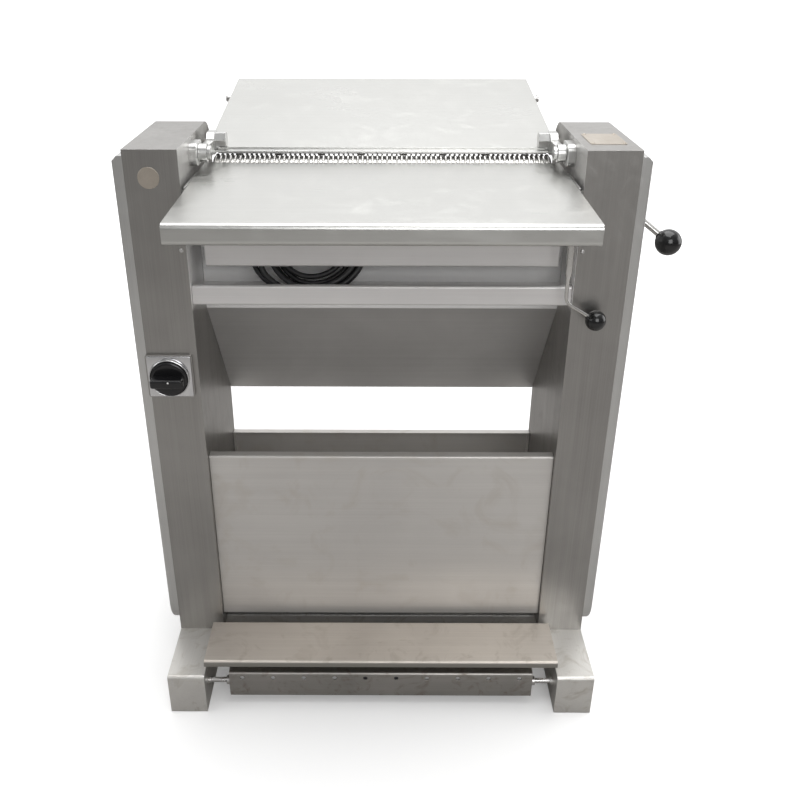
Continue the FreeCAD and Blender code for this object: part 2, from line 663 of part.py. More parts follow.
def outfeed_plate():
    y0, y1 = OUTFEED_Y, OUTFEED_Y + OUTFEED_LENGTH
    t, lip = OUTFEED_SHEET, OUTFEED_LIP
    line = [(y0, outfeed_z(y0)), (y1, outfeed_z(y1)), (y1 + 1.5, outfeed_z(y1) - lip)]
    plate = folded([(y, z) for y, z in line[::-1]], t, -OUTFEED_HALF, OUTFEED_HALF)
    ys = y0 + 40
    side = prism_x([(ys, outfeed_z(ys) - t / 2), (y1 - 2, outfeed_z(y1 - 2) - t / 2),
                    (y1 - 2, outfeed_z(y1 - 2) - lip), (ys, outfeed_z(ys) - lip)],
                   OUTFEED_HALF - t, OUTFEED_HALF)
    notch_x = OUTFEED_HALF - OUTFEED_NOTCH
    notches = [block(notch_x, OUTFEED_HALF + 1, y0 - 5, y0 + 21, AXIS_Z, AXIS_Z + 90),
               block(-OUTFEED_HALF - 1, -notch_x, y0 - 5, y0 + 21, AXIS_Z, AXIS_Z + 90)]
    return join(plate, side, mirrored(side)).cut(notches)


def right_arm():
    """Carrier arm: pivot eye at the front, chamfered end block over the knife holder's end."""
    py, pz = back(PIVOT_SETBACK), PIVOT_Z
    low = BLADE_Z + 1.3
    y0, y1 = ROLLER_Y - 14, ROLLER_Y + 22
    end = prism_x([(y0, low), (y1, low), (y1, low + 22), (y1 - 8, low + 29), (y0 + 8, low + 29),
                   (y0, low + 22)], ARM_IN, ARM_OUT)
    bar = prism_x([(py, pz - 8), (y0 + 2, low + 2), (y0 + 2, low + 20), (py, pz + 8)], ARM_IN, ARM_OUT)
    eye = rod_x(ARM_IN, ARM_OUT, py, pz, ARM_EYE_R)
    ya, yb = y1 - 2, HOLDER_BACK + 30
    za, zb = outfeed_z(ya) - OUTFEED_DROP, outfeed_z(yb) - OUTFEED_DROP
    tail = prism_x([(ya, za - 7), (yb, zb - 6), (yb, zb), (ya, za)], ARM_IN, ARM_IN + 4)
    hy, hz = ROLLER_Y + 4, BLADE_Z + 19.6
    nut = prism_x([(hy + NUT_R * cos(radians(a)), hz + NUT_R * sin(radians(a)))
                   for a in range(0, 360, 60)], ARM_IN - NUT_LENGTH, ARM_IN)
    return join(end, bar, eye, tail, nut).cut(rod_x(ARM_IN - 1, ARM_OUT + 1, py, pz, PIVOT_PIN_R + RUNNING))


def arm_screws():
    """Cap screws that hold an arm on the knife holder's end."""
    y = ROLLER_Y + 16
    z = BLADE_Z + 5.0
    return [screw(V(ARM_OUT, y, z), V(-1, 0, 0), ARM_WIDTH + 12, 2.5, 4.5, 3.0)]


def right_pivot_block():
    """Rounded block on the column's inner wall that carries the pivot pin."""
    py, pz = back(PIVOT_SETBACK), PIVOT_Z
    inner = ARM_OUT + 0.4
    block_shape = block(inner, BAY_HALF, py - 21, py + 21, pz - 15, pz + 15)
    block_shape = round_x(block_shape, [(py - 21, pz + 15), (py + 21, pz + 15), (py - 21, pz - 15),
                                        (py + 21, pz - 15)], 9.0)
    return block_shape.cut(rod_x(inner - 1, BAY_HALF + 1, py, pz, PIVOT_PIN_R))


def right_pivot_pin():
    py, pz = back(PIVOT_SETBACK), PIVOT_Z
    shank = rod_x(ARM_IN - 0.4, BAY_HALF, py, pz, PIVOT_PIN_R)
    head = rod_x(ARM_IN - 5, ARM_IN - 0.4, py, pz, 9.0)
    return join(shank, head)


def rest_studs():
    """Studs on the columns that the plate's side lips rest on when the carrier is down."""
    y = back(COLUMN_DEPTH - 12)
    z = outfeed_z(y) - OUTFEED_LIP - 4.3
    stud = join(rod_x(OUTFEED_HALF - 8, BAY_HALF, y, z, 4.0), rod_x(OUTFEED_HALF + 2, BAY_HALF, y, z, 7.0))
    return stud, mirrored(stud)


def side_studs():
    """Shouldered studs on the side lips of the outfeed plate, for lifting it off."""
    y = OUTFEED_Y + 250
    z = outfeed_z(y) - 6.5
    stud = join(rod_x(OUTFEED_HALF, OUTFEED_HALF + 6, y, z, 4.0),
                rod_x(OUTFEED_HALF + 6, OUTFEED_HALF + 9, y, z, 6.0))
    return stud, mirrored(stud)


# ---- lift lever on the right side --------------------------------------------------------------
LIFT_Y = back(LIFT_SETBACK)
LIFT_HUB_X = COVER_OUT + 2.0
LIFT_ELBOW = V(LIFT_HUB_X + 11.0, LIFT_Y, AXIS_Z - 31.0)
LIFT_KNOB = V(COVER_OUT + 59.5, back(80), AXIS_Z - 65.5)


def lift_shaft():
    """Shaft through the right column, with the eccentric that lifts the carrier at its inner end."""
    shaft = rod_x(BAY_HALF - 8.0, LIFT_HUB_X, LIFT_Y, LIFT_Z, LIFT_SHAFT_R)
    eccentric = rod_x(TABLE_HALF + 0.8, BAY_HALF - 1.5, LIFT_Y + 2.5, LIFT_Z - 4, 14.0)
    return join(shaft, eccentric)


def lift_bushes():
    bore = rod_x(0, COVER_OUT + 50, LIFT_Y, LIFT_Z, LIFT_SHAFT_R + RUNNING)
    inner = join(rod_x(BAY_HALF, BAY_HALF + COLUMN_WALL, LIFT_Y, LIFT_Z, LIFT_SHAFT_R + 3),
                 rod_x(BAY_HALF + COLUMN_WALL, BAY_HALF + 12, LIFT_Y, LIFT_Z, LIFT_SHAFT_R + 6))
    outer = join(rod_x(COVER_OUT - 10, COVER_OUT, LIFT_Y, LIFT_Z, LIFT_SHAFT_R + 3),
                 rod_x(COVER_OUT, COVER_OUT + 1.5, LIFT_Y, LIFT_Z, LIFT_SHAFT_R + 8))
    return inner.cut(bore), outer.cut(bore)


def lift_hub():
    hub = rod_x(LIFT_HUB_X, LIFT_HUB_X + 20, LIFT_Y, LIFT_Z, 12.0)
    rim = [e for e in hub.Edges if e.Curve.TypeId == "Part::GeomCircle"
           and abs(e.Curve.Center.x - LIFT_HUB_X - 20) < 1e-6]
    return hub.makeFillet(3.0, rim)


def lift_rod(hub):
    """Rod that runs down from the hub, bends at a ball-shaped elbow and reaches out to the knob."""
    start = V(LIFT_HUB_X + 11, LIFT_Y, LIFT_Z)
    direction = (LIFT_KNOB - LIFT_ELBOW).normalize()
    stop = LIFT_KNOB - direction * (LIFT_KNOB_R - 8)
    rod = join(rod_between(start, LIFT_ELBOW, LIFT_ROD_R), ball(LIFT_ELBOW, LIFT_ROD_R),
               rod_between(LIFT_ELBOW, stop, LIFT_ROD_R))
    return rod.cut(hub)


def lift_knob(rod):
    return ball(LIFT_KNOB, LIFT_KNOB_R).cut(rod)


# ---- thickness lever at the front --------------------------------------------------------------
ADJUST_Y = back(ADJUST_SETBACK)
LEVER_X = BAY_HALF - 13.0
LEVER_SLEEVE_END = ADJUST_Z - 57.0
LEVER_BEND_Z = ADJUST_Z - 94.0
FRONT_KNOB = V(LEVER_X + 43.0, back(ADJUST_SETBACK), ADJUST_Z - 120.0)


def adjust_shaft():
    return rod_x(-APRON_HALF - 4, LEVER_X - 6, ADJUST_Y, ADJUST_Z, ADJUST_SHAFT_R)


def adjust_brackets():
    """Lugs on the apron that carry the adjusting shaft."""
    lugs = []
    for x in (-APRON_HALF + 6, APRON_HALF - 14):
        lug = prism_x([(ADJUST_Y - 14, ADJUST_Z - 12), (back(APRON_SETBACK), ADJUST_Z - 20),
                       (back(APRON_SETBACK), ADJUST_Z + 16), (ADJUST_Y - 14, ADJUST_Z + 12)], x, x + 8)
        lugs.append(lug.cut(rod_x(x - 1, x + 9, ADJUST_Y, ADJUST_Z, ADJUST_SHAFT_R + RUNNING)))
    return lugs


def lever_sleeve():
    hub = rod_x(LEVER_X - 6, LEVER_X + 6, ADJUST_Y, ADJUST_Z, 11.0)
    sleeve = rod_z(LEVER_X, ADJUST_Y, LEVER_SLEEVE_END, ADJUST_Z - 9, 4.6)
    return join(hub, sleeve)


def lever_rod():
    """Bent rod from the sleeve to the ball, with a ball-shaped elbow."""
    elbow = V(LEVER_X, ADJUST_Y, LEVER_BEND_Z)
    direction = (FRONT_KNOB - elbow).normalize()
    upper = rod_z(LEVER_X, ADJUST_Y, LEVER_BEND_Z, LEVER_SLEEVE_END, 2.6)
    lower = rod_between(elbow, FRONT_KNOB - direction * (FRONT_KNOB_R - 6), 2.6)
    return join(upper, ball(elbow, 2.6), lower)


# ---- pedal -------------------------------------------------------------------------------------
def pedal_plate():
    y0, y1 = back(PEDAL_FRONT), back(PEDAL_BACK)
    line = [(y0, PEDAL_TOP - PEDAL_LIP), (y0, PEDAL_TOP), (y1, PEDAL_TOP)]
    plate = folded(line[::-1], PEDAL_SHEET, -PEDAL_HALF, PEDAL_HALF, 2.0)
    axis_y = y1 - 12
    lugs = []
    for x in (BEAM_HALF - 40, -BEAM_HALF + 32):
        lug = prism_x([(axis_y - 14, PEDAL_AXIS_Z - 12), (axis_y + 12, PEDAL_AXIS_Z - 12),
                       (axis_y + 12, PEDAL_TOP - PEDAL_SHEET), (axis_y - 30, PEDAL_TOP - PEDAL_SHEET)],
                      x, x + 8)
        lugs.append(lug)
    bore = rod_x(-FOOT_IN, FOOT_IN, axis_y, PEDAL_AXIS_Z, PEDAL_SHAFT_R + RUNNING)
    return join(plate, *lugs).cut(bore)


PEDAL_AXIS_Y = back(PEDAL_BACK) - 12


def pedal_shaft():
    return rod_x(-FOOT_IN, FOOT_IN, PEDAL_AXIS_Y, PEDAL_AXIS_Z, PEDAL_SHAFT_R)


def pedal_springs():
    """Return springs wound on the shaft beside the lugs, drawn as closed sleeves."""
    springs = []
    for x in (BEAM_HALF - 76, -BEAM_HALF + 44):
        sleeve = rod_x(x, x + 32, PEDAL_AXIS_Y, PEDAL_AXIS_Z, PEDAL_SHAFT_R + 4)
        springs.append(sleeve.cut(rod_x(x - 1, x + 33, PEDAL_AXIS_Y, PEDAL_AXIS_Z, PEDAL_SHAFT_R)))
    return springs


def pedal_beam():
    """Perforated beam under the pedal, folded from sheet, with a hemmed lower edge."""
    y = back(BEAM_SETBACK)
    line = [(y + 26, BEAM_BOTTOM), (y, BEAM_BOTTOM), (y, BEAM_TOP), (y + 22, BEAM_TOP)]
    beam = folded(line[::-1], SHEET, -BEAM_HALF, BEAM_HALF, 2.0)
    tabs = [block(x, x + 3, y + SHEET, y + 24, BEAM_BOTTOM + SHEET, BEAM_TOP - SHEET)
            for x in (-BEAM_HALF, BEAM_HALF - 3)]
    holes = [rod_y((i - (BEAM_HOLES - 1) / 2) * BEAM_HOLE_PITCH, y - 1, y + SHEET + 1, BEAM_HOLE_Z,
                   BEAM_HOLE_R) for i in range(BEAM_HOLES)]
    return join(beam, *tabs).cut(holes)


def beam_bolts():
    """Bolts from the skids into the ends of the beam, with a nut against each skid."""
    y, z = back(BEAM_SETBACK) + 13, 38.0
    shank = rod_x(BEAM_HALF - 12, FOOT_IN, y, z, 4.0)
    nut = rod_x(BEAM_HALF, BEAM_HALF + 6, y, z, 7.0)
    collar = rod_x(FOOT_IN - 5, FOOT_IN, y, z, 6.5)
    bolt = join(shank, nut, collar)
    return bolt, mirrored(bolt)


def pedal_switch():
    """Safety switch inside the beam; its plunger stops just under the fully pressed pedal."""
    y = back(BEAM_SETBACK) + SHEET + 2
    top = BEAM_TOP - SHEET
    box = block(-30, 30, y, y + 34, top - 34, top)
    reach = PEDAL_AXIS_Y - (y + 28)
    plate_under = PEDAL_TOP - PEDAL_SHEET - reach * sin(radians(PEDAL_TRAVEL)) - 1.2
    return join(box, rod_z(0, y + 28, top, plate_under, 4))


# ---- switch ------------------------------------------------------------------------------------
FRONT_Y = back(0)
KNOB_FACE = FRONT_Y - SWITCH_PLATE_THICKNESS - ESCUTCHEON_THICKNESS


def switch_backplate():
    h = SWITCH_PLATE / 2
    plate = block(SWITCH_X - h, SWITCH_X + h, FRONT_Y - SWITCH_PLATE_THICKNESS, FRONT_Y, SWITCH_Z - h,
                  SWITCH_Z + h)
    plate = plate.makeFillet(4.0, [e for e in plate.Edges
                                   if abs(e.BoundBox.YLength - SWITCH_PLATE_THICKNESS) < 1e-3])
    return plate.cut(rod_y(SWITCH_X, FRONT_Y - 20, FRONT_Y + 20, SWITCH_Z, 12))


def switch_escutcheon():
    h = ESCUTCHEON / 2
    y0, y1 = KNOB_FACE, KNOB_FACE + ESCUTCHEON_THICKNESS
    plate = block(SWITCH_X - h, SWITCH_X + h, y0, y1, SWITCH_Z - h, SWITCH_Z + h)
    plate = plate.makeFillet(3.0, [e for e in plate.Edges
                                   if abs(e.BoundBox.YLength - ESCUTCHEON_THICKNESS) < 1e-3])
    ring = rod_y(SWITCH_X, y0 - 3, y0, SWITCH_Z, SWITCH_RING_R).cut(
        rod_y(SWITCH_X, y0 - 4, y0 + 1, SWITCH_Z, SWITCH_KNOB_R + 0.6))
    return join(plate, ring).cut(rod_y(SWITCH_X, y0 - 1, y1 + 1, SWITCH_Z, 12))


def switch_knob():
    y1 = KNOB_FACE - 0.4
    disc = rod_y(SWITCH_X, y1 - 9, y1, SWITCH_Z, SWITCH_KNOB_R)
    disc = disc.makeFillet(2.5, [e for e in disc.Edges if e.Curve.TypeId == "Part::GeomCircle"
                                 and abs(e.Curve.Center.y - y1 + 9) < 1e-6])
    grip = block(SWITCH_X - 23, SWITCH_X + 23, y1 - 27, y1 - 8, SWITCH_Z - 6.5, SWITCH_Z + 6.5)
    grip = grip.makeFillet(4.0, [e for e in grip.Edges if abs(e.BoundBox.YLength - 19) < 1e-3])
    return join(disc, grip)


def switch_spindle():
    return rod_y(SWITCH_X, KNOB_FACE - 0.4, FRONT_Y + 30, SWITCH_Z, 4.0)


def switch_body():
    """Contact block inside the column, with the boss that clamps through the plates."""
    y0 = FRONT_Y + COLUMN_WALL
    body = block(SWITCH_X - 24, SWITCH_X + 24, y0, y0 + 52, SWITCH_Z - 24, SWITCH_Z + 24)
    boss = rod_y(SWITCH_X, KNOB_FACE + 0.5, y0, SWITCH_Z, SWITCH_BOSS_R)
    bore = rod_y(SWITCH_X, FRONT_Y - 20, FRONT_Y + 40, SWITCH_Z, 4.0 + RUNNING)
    return join(body, boss).cut(bore)


# ---- cord --------------------------------------------------------------------------------------
GLAND_Y = back(60)
GLAND_Z = AXIS_Z - 27.0
GLAND_OUT = -BAY_HALF + 20.0
COIL_Z = TROUGH_FLOOR + SHEET + COIL_RING_R * sin(radians(COIL_LEAN)) + COIL_BUNDLE_R + 0.2
CORD_ROUTE = [(-238.5, -57.5, 745.0), (-217.0, -57.2, 743.5), (-195.5, -55.0, 738.5),
              (-174.0, -51.5, 738.5), (-154.0, -47.5, 745.0), (-137.5, -44.0, 755.0)]


def cable_gland():
    """Gland through the left column's inner wall, with its lock nut inside."""
    x0 = -BAY_HALF
    nut = rod_x(x0 - COLUMN_WALL - 5, x0 - COLUMN_WALL, GLAND_Y, GLAND_Z, 11)
    thread = rod_x(x0 - COLUMN_WALL, x0, GLAND_Y, GLAND_Z, 7.5)
    body = rod_x(x0, x0 + 8, GLAND_Y, GLAND_Z, 11)
    cap = Part.makeCone(9.5, 6.0, GLAND_OUT - x0 - 8, V(x0 + 8, GLAND_Y, GLAND_Z), V(1, 0, 0))
    return join(nut, thread, body, cap)


def coil_ring():
    lean = radians(COIL_LEAN)
    centre = V(COIL_X, back(COIL_SETBACK), COIL_Z)
    return Part.makeTorus(COIL_RING_R, COIL_BUNDLE_R, centre, V(0, -sin(lean), cos(lean)))


def route_wire(points):
    """Straight runs joined by tangent arcs, each as large as its two runs allow."""
    pts = [V(*p) for p in points]
    edges = []
    start = pts[0]
    for i in range(1, len(pts) - 1):
        before = (pts[i] - pts[i - 1])
        after = (pts[i + 1] - pts[i])
        short = min(before.Length, after.Length)
        before.normalize()
        after.normalize()
        half_turn = before.getAngle(after) / 2
        reach = 0.45 * short
        enter = pts[i] - before * reach
        leave = pts[i] + after * reach
        inward = (after - before).normalize()
        mid = pts[i] + inward * reach * (1 / sin(half_turn) - 1 / tan(half_turn))
        edges.append(Part.LineSegment(start, enter).toShape())
        edges.append(Part.Arc(enter, mid, leave).toShape())
        start = leave
    edges.append(Part.LineSegment(start, pts[-1]).toShape())
    return Part.Wire(edges)


def cord_tube(coil):
    wire = route_wire(CORD_ROUTE)
    start, ahead = V(*CORD_ROUTE[0]), V(*CORD_ROUTE[1])
    ring = Part.Wire(Part.Circle(start, ahead - start, CORD_R).toShape())
    tube = wire.makePipeShell([ring], True, False)
    parts = tube.cut(coil).Solids
    return max(parts, key=lambda s: s.Volume)


def plug(coil):
    """Round moulded plug with two pins, lying between the coil and the apron."""
    y, z = back(APRON_SETBACK) + SHEET + PLUG_R + 0.5, COIL_Z + 26.5
    x0 = COIL_X + 33
    neck = Part.makeCone(5.0, 7.0, 10, V(x0, y, z), V(1, 0, 0))
    body = rod_x(x0 + 10, x0 + 40, y, z, PLUG_R)
    pins = [rod_x(x0 + 40, x0 + 58, y, z + dz, 2.0) for dz in (-6, 6)]
    return join(neck, body, *pins).cut(coil)


# ---- small plates ------------------------------------------------------------------------------
def round_badge():
    return rod_y(BADGE_X, FRONT_Y - 0.6, FRONT_Y, BADGE_Z, BADGE_R)


BADGE_X = -(BAY_HALF + COLUMN_WIDTH * 0.56)
BADGE_Z = COLUMN_TOP - 36.0
PLATE_X, PLATE_Y = BAY_HALF + COLUMN_WIDTH / 2, back(72)


def data_plate():
    plate = block(PLATE_X - 24, PLATE_X + 24, PLATE_Y - 34, PLATE_Y + 34, COLUMN_TOP, COLUMN_TOP + 0.8)
    return plate.makeFillet(3.0, [e for e in plate.Edges if abs(e.BoundBox.ZLength - 0.8) < 1e-4])


def plate_rivets():
    return [screw(V(PLATE_X + i * 20, PLATE_Y + j * 30, COLUMN_TOP + 0.8), V(0, 0, -1), 3.3, 1.2, 2.2, 1.0)
            for i in (-1, 1) for j in (-1, 1)]


def head_screws():
    """Two screws high on each column's front face, near its inner edge."""
    places = [(side * (BAY_HALF + 7), AXIS_Z - 42 - 12 * i) for side in (-1, 1) for i in (0, 1)]
    return [screw(V(x, FRONT_Y, z), V(0, 1, 0), COLUMN_WALL, 1.6, 3.0, 1.6) for x, z in places]


# ---- build -------------------------------------------------------------------------------------
def build():
    right_foot = foot()
    save("right_foot", right_foot)
    save("left_foot", mirrored(right_foot))
    save("base_crossmembers", *crossmembers())
    save("motor_shelf", motor_shelf())

    rivets = plate_rivets()
    screws = head_screws()
    bearing = right_bearing()
    bushes = lift_bushes()
    gland = cable_gland()
    body = switch_body()
    column = right_column_blank()
    shaft_hole = rod_x(BAY_HALF - 1, BAY_HALF + COLUMN_WALL + 1, ROLLER_Y, AXIS_Z, BEARING_SPIGOT_R)
    right = drill(column, [shaft_hole, rod_x(BAY_HALF - 1, BAY_HALF + COLUMN_WALL + 1, LIFT_Y, LIFT_Z,
                                             LIFT_SHAFT_R + 3)] + rivets + screws)
    drive_hole = rod_x(-BAY_HALF - COLUMN_WALL - 1, -BAY_HALF + 1, 0, MOTOR_AXIS_Z, 30)
    switch_hole = rod_y(SWITCH_X, FRONT_Y - 1, FRONT_Y + COLUMN_WALL + 1, SWITCH_Z, SWITCH_BOSS_R)
    left = drill(mirrored(column), [mirrored(shaft_hole), drive_hole, gland, body, switch_hole] + screws)
    save("right_column", right)
    save("left_column", left)
    cover = right_cover_blank()
    right_screws = cover_screws()
    left_screws = [mirrored(s) for s in right_screws]
    outer_bush_hole = rod_x(COLUMN_OUT, COVER_OUT + 1, LIFT_Y, LIFT_Z, LIFT_SHAFT_R + 3)
    save("right_side_cover", drill(cover, [outer_bush_hole] + right_screws))
    save("left_side_cover", drill(mirrored(cover), left_screws))
    save("panel_screws", *(right_screws + left_screws + screws))

    save("lower_front_panel", front_panel())
    save("rear_lower_panel", rear_panel())
    save("compartment_lid", compartment_lid())
    save("front_crossbar", crossbar())
    save("cable_trough", trough_floor())
    save("skin_chute", chute())
    save("chute_cleats", *chute_cleats())
    save("apron", apron())
    save("upper_beam", upper_beam())
    save("infeed_table", infeed_table())
    save("table_brackets", *table_brackets())

    save("tooth_roller", tooth_roller())
    save("roller_shaft", rod_x(SPROCKET_X - 6, BAY_HALF + 30, ROLLER_Y, AXIS_Z, SHAFT_R))
    save("roller_bearings", bearing, mirrored(bearing))
    save("roller_sprocket", sprocket(ROLLER_Y, AXIS_Z, SPROCKET_R, SHAFT_R))
    save("drive_chain", drive_chain())
    save("gearbox", gearbox())
    save("motor", motor())
    save("motor_sprocket", sprocket(0, MOTOR_AXIS_Z, MOTOR_SPROCKET_R, SHAFT_R),
         rod_x(SPROCKET_X - 6, -BAY_HALF + 60, 0, MOTOR_AXIS_Z, SHAFT_R))
    save("stripper_comb", comb())

    fixing = clamp_screws()
    arm_fixing = arm_screws()
    arm_fixing_left = [mirrored(s) for s in arm_fixing]
    save("knife_holder", drill(knife_holder(), fixing + arm_fixing + arm_fixing_left))
    save("blade", blade())
    save("blade_clamp", drill(blade_clamp(), fixing))
    save("outfeed_plate", outfeed_plate())
    arm = drill(right_arm(), arm_fixing)
    save("carrier_arms", arm, mirrored(arm))
    save("carrier_screws", *(fixing + arm_fixing + arm_fixing_left + list(side_studs())))
    pivot = (right_pivot_block(), right_pivot_pin())
    save("pivot_blocks", *(pivot + tuple(mirrored(s) for s in pivot)))
    save("rest_studs", *rest_studs())

    hub = lift_hub()
    rod = lift_rod(hub)
    save("lift_shaft", lift_shaft())
    save("lift_bushes", *bushes)
    save("lift_rod", hub, rod)
    save("lift_knob", lift_knob(rod))

    sleeve = lever_sleeve()
    front_rod = lever_rod()
    save("adjust_shaft", adjust_shaft())
    save("adjust_brackets", *adjust_brackets())
    save("lever_rod", sleeve, front_rod)
    save("lever_knob", ball(FRONT_KNOB, FRONT_KNOB_R).cut(front_rod))

    bolts = beam_bolts()
    save("pedal_plate", pedal_plate())
    save("pedal_shaft", pedal_shaft())
    save("pedal_springs", *pedal_springs())
    save("pedal_beam", drill(pedal_beam(), bolts))
    save("beam_bolts", *bolts)
    save("pedal_switch", pedal_switch())

    save("switch_backplate", switch_backplate())
    save("switch_escutcheon", switch_escutcheon())
    save("switch_knob", join(switch_knob(), switch_spindle()))
    save("switch_body", body)

    coil = coil_ring()
    save("cable_gland", gland)
    save("power_cord", cord_tube(coil))
    save("cord_coil", coil)
    save("plug", plug(coil))
    save("blank_plates", drill(data_plate(), rivets), *(rivets + [round_badge()]))


build()
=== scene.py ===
"""Floor-standing skinning machine in brushed stainless steel, 450 mm working width.

Metres throughout: +X to the operator's right, +Y away from the operator, +Z up, the origin on the floor
between the two skids.  A new piece is a surface worked out on a grid, rows by columns, with its place in
its mesh; every finish reads the piece's own Object coordinates.
"""
from math import cos, pi, radians, sin

import bmesh
import bpy
import numpy as np
from mathutils import Matrix, Vector


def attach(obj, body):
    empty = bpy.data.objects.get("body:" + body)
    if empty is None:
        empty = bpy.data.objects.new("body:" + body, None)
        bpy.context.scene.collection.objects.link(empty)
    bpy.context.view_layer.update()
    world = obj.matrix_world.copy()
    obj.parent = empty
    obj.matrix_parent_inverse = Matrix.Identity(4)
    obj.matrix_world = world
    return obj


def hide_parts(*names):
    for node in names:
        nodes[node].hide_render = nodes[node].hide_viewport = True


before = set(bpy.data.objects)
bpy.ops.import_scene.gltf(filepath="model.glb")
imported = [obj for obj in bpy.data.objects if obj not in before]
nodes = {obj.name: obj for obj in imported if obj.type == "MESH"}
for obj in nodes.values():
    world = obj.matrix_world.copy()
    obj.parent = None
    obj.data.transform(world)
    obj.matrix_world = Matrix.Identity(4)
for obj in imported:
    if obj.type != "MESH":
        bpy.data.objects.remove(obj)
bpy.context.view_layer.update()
scene = bpy.context.scene
MM = 0.001


# ---- camera and cord ---------------------------------------------------------------------------
VIEW_FROM = (0.0, -1.2676, 1.0856)
VIEW_TILT, VIEW_YAW, VIEW_ROLL = 62.93, 0.12, 0.11      # degrees; the tilt is from straight down


def aim_camera():
    """The operator's view: standing in front, a little above the table, looking 27 degrees down."""
    lens = bpy.data.cameras.new("view")
    lens.lens, lens.sensor_width = 40.45, 36.0
    lens.shift_x, lens.shift_y = 0.0252, -0.0011
    camera = bpy.data.objects.new("view", lens)
    scene.collection.objects.link(camera)
    turn = (Matrix.Rotation(radians(VIEW_YAW), 4, "Z") @ Matrix.Rotation(radians(VIEW_TILT), 4, "X")
            @ Matrix.Rotation(radians(VIEW_ROLL), 4, "Z"))
    camera.matrix_world = Matrix.Translation(VIEW_FROM) @ turn
    scene.camera = camera


aim_camera()

CORD_R = 3.75 * MM
CORD_ROUTE = np.array([(-238.5, -57.5, 745.0), (-217.0, -57.2, 743.5), (-195.5, -55.0, 738.5),
                       (-174.0, -51.5, 738.5), (-154.0, -47.5, 745.0)]) * MM
COIL_CENTRE = np.array((-99.0, -65.5, 708.67)) * MM
COIL_LEAN = radians(65.0)
COIL_ACROSS = np.array((1.0, 0.0, 0.0))
COIL_UP = np.array((0.0, cos(COIL_LEAN), sin(COIL_LEAN)))
COIL_OUT = np.array((0.0, -sin(COIL_LEAN), cos(COIL_LEAN)))
# Where each turn lies in the bundle: its radius, and how far it stands out of the coil's plane.
COIL_PLACES = np.array([(67.4, 0.6), (67.2, 8.8), (59.8, 12.8), (59.6, 4.5), (59.6, -3.7), (59.6, -11.8),
                        (52.0, -7.8), (43.5, 3.2)]) * MM
COIL_START, COIL_END = 127.0, 2497.0
# How far each turn stands outwards or inwards at the coil's lower left.
COIL_SWELL = np.array([6.0, 1.0, -3.0, -8.0, -9.5, -9.5, -9.5, -4.5]) * MM
COIL_WIDE = 1.16          # the loops have spread sideways under their own weight
# The last stretch climbs out of the innermost turn to the plug: across, up the lean, out of the plane.
PLUG_LEAD = np.array([(-42.5, 25.7, 5.7), (-31.0, 36.7, 9.8), (-15.9, 41.0, 14.8), (-0.5, 37.6, 19.7),
                      (12.2, 27.8, 23.3), (21.9, 21.7, 23.5), (33.0, 18.3, 23.4)]) * MM


def coil_points():
    """Control points of the wound part, sixteen to a turn.

    A point at turned angle f lies at start - f round the coil.  Between one place in the bundle and the
    next the radius and the stand-off follow a smooth step 40 degrees long; each step comes 45 degrees
    earlier in its turn than the one before, so no two turns change places at once.  At the lower
    left the turns fan out by a cosine squared bump, the first outwards and the later ones inwards.
    """
    f = np.arange(6.0, COIL_END, 22.5)
    place = np.zeros_like(f)
    for step in range(1, len(COIL_PLACES)):
        middle = 360.0 * (step - 1) + 380.0 - 45.0 * step
        t = np.clip((f - middle) / 40.0 + 0.5, 0.0, 1.0)
        place += t * t * (3 - 2 * t)
    index = np.arange(len(COIL_PLACES))
    radius = np.interp(place, index, COIL_PLACES[:, 0])
    stand = np.interp(place, index, COIL_PLACES[:, 1])
    angle = np.radians(COIL_START - f)
    turn = (COIL_START - f) % 360.0
    swell = np.cos(np.clip((turn - 207.0) / 62.0, -1, 1) * pi / 2) ** 2
    radius = radius + swell * np.interp(place, index, COIL_SWELL)
    return lean_out(np.stack([COIL_WIDE * radius * np.cos(angle), radius * np.sin(angle), stand], -1))


def lean_out(local):
    """Points given across the coil, up its lean and out of its plane, put in place."""
    return COIL_CENTRE + local[:, :1] * COIL_ACROSS + local[:, 1:2] * COIL_UP + local[:, 2:3] * COIL_OUT


def lay_cord():
    """The rubber lead: out of the gland, along the trough, seven loose turns, and into its plug."""
    points = np.concatenate([CORD_ROUTE, coil_points(), lean_out(PLUG_LEAD)])
    curve = bpy.data.curves.new("power_lead", "CURVE")
    curve.dimensions = "3D"
    line = curve.splines.new("NURBS")
    line.points.add(len(points) - 1)
    line.points.foreach_set("co", np.c_[points, np.ones(len(points))].ravel())
    line.points.foreach_set("radius", np.full(len(points), CORD_R))
    line.order_u = 3
    line.use_endpoint_u = True
    line.resolution_u = 5
    curve.resolution_u = 5
    curve.bevel_resolution = 4
    curve.use_fill_caps = True
    bare = bpy.data.objects.new("bare_line", curve)
    mesh = bpy.data.meshes.new_from_object(bare)
    centre = np.empty(len(mesh.vertices) * 3)
    mesh.vertices.foreach_get("co", centre)
    steps = np.diff(centre.reshape(-1, 3), axis=0)
    length = float(np.linalg.norm(steps, axis=1).sum())
    bpy.data.objects.remove(bare)
    bpy.data.meshes.remove(mesh)
    curve.bevel_depth = 1.0
    lead = bpy.data.objects.new("power_lead", curve)
    scene.collection.objects.link(lead)
    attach(lead, "frame")
    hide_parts("power_cord", "cord_coil")
    return lead, tuple(float(v) for v in points[0]), length


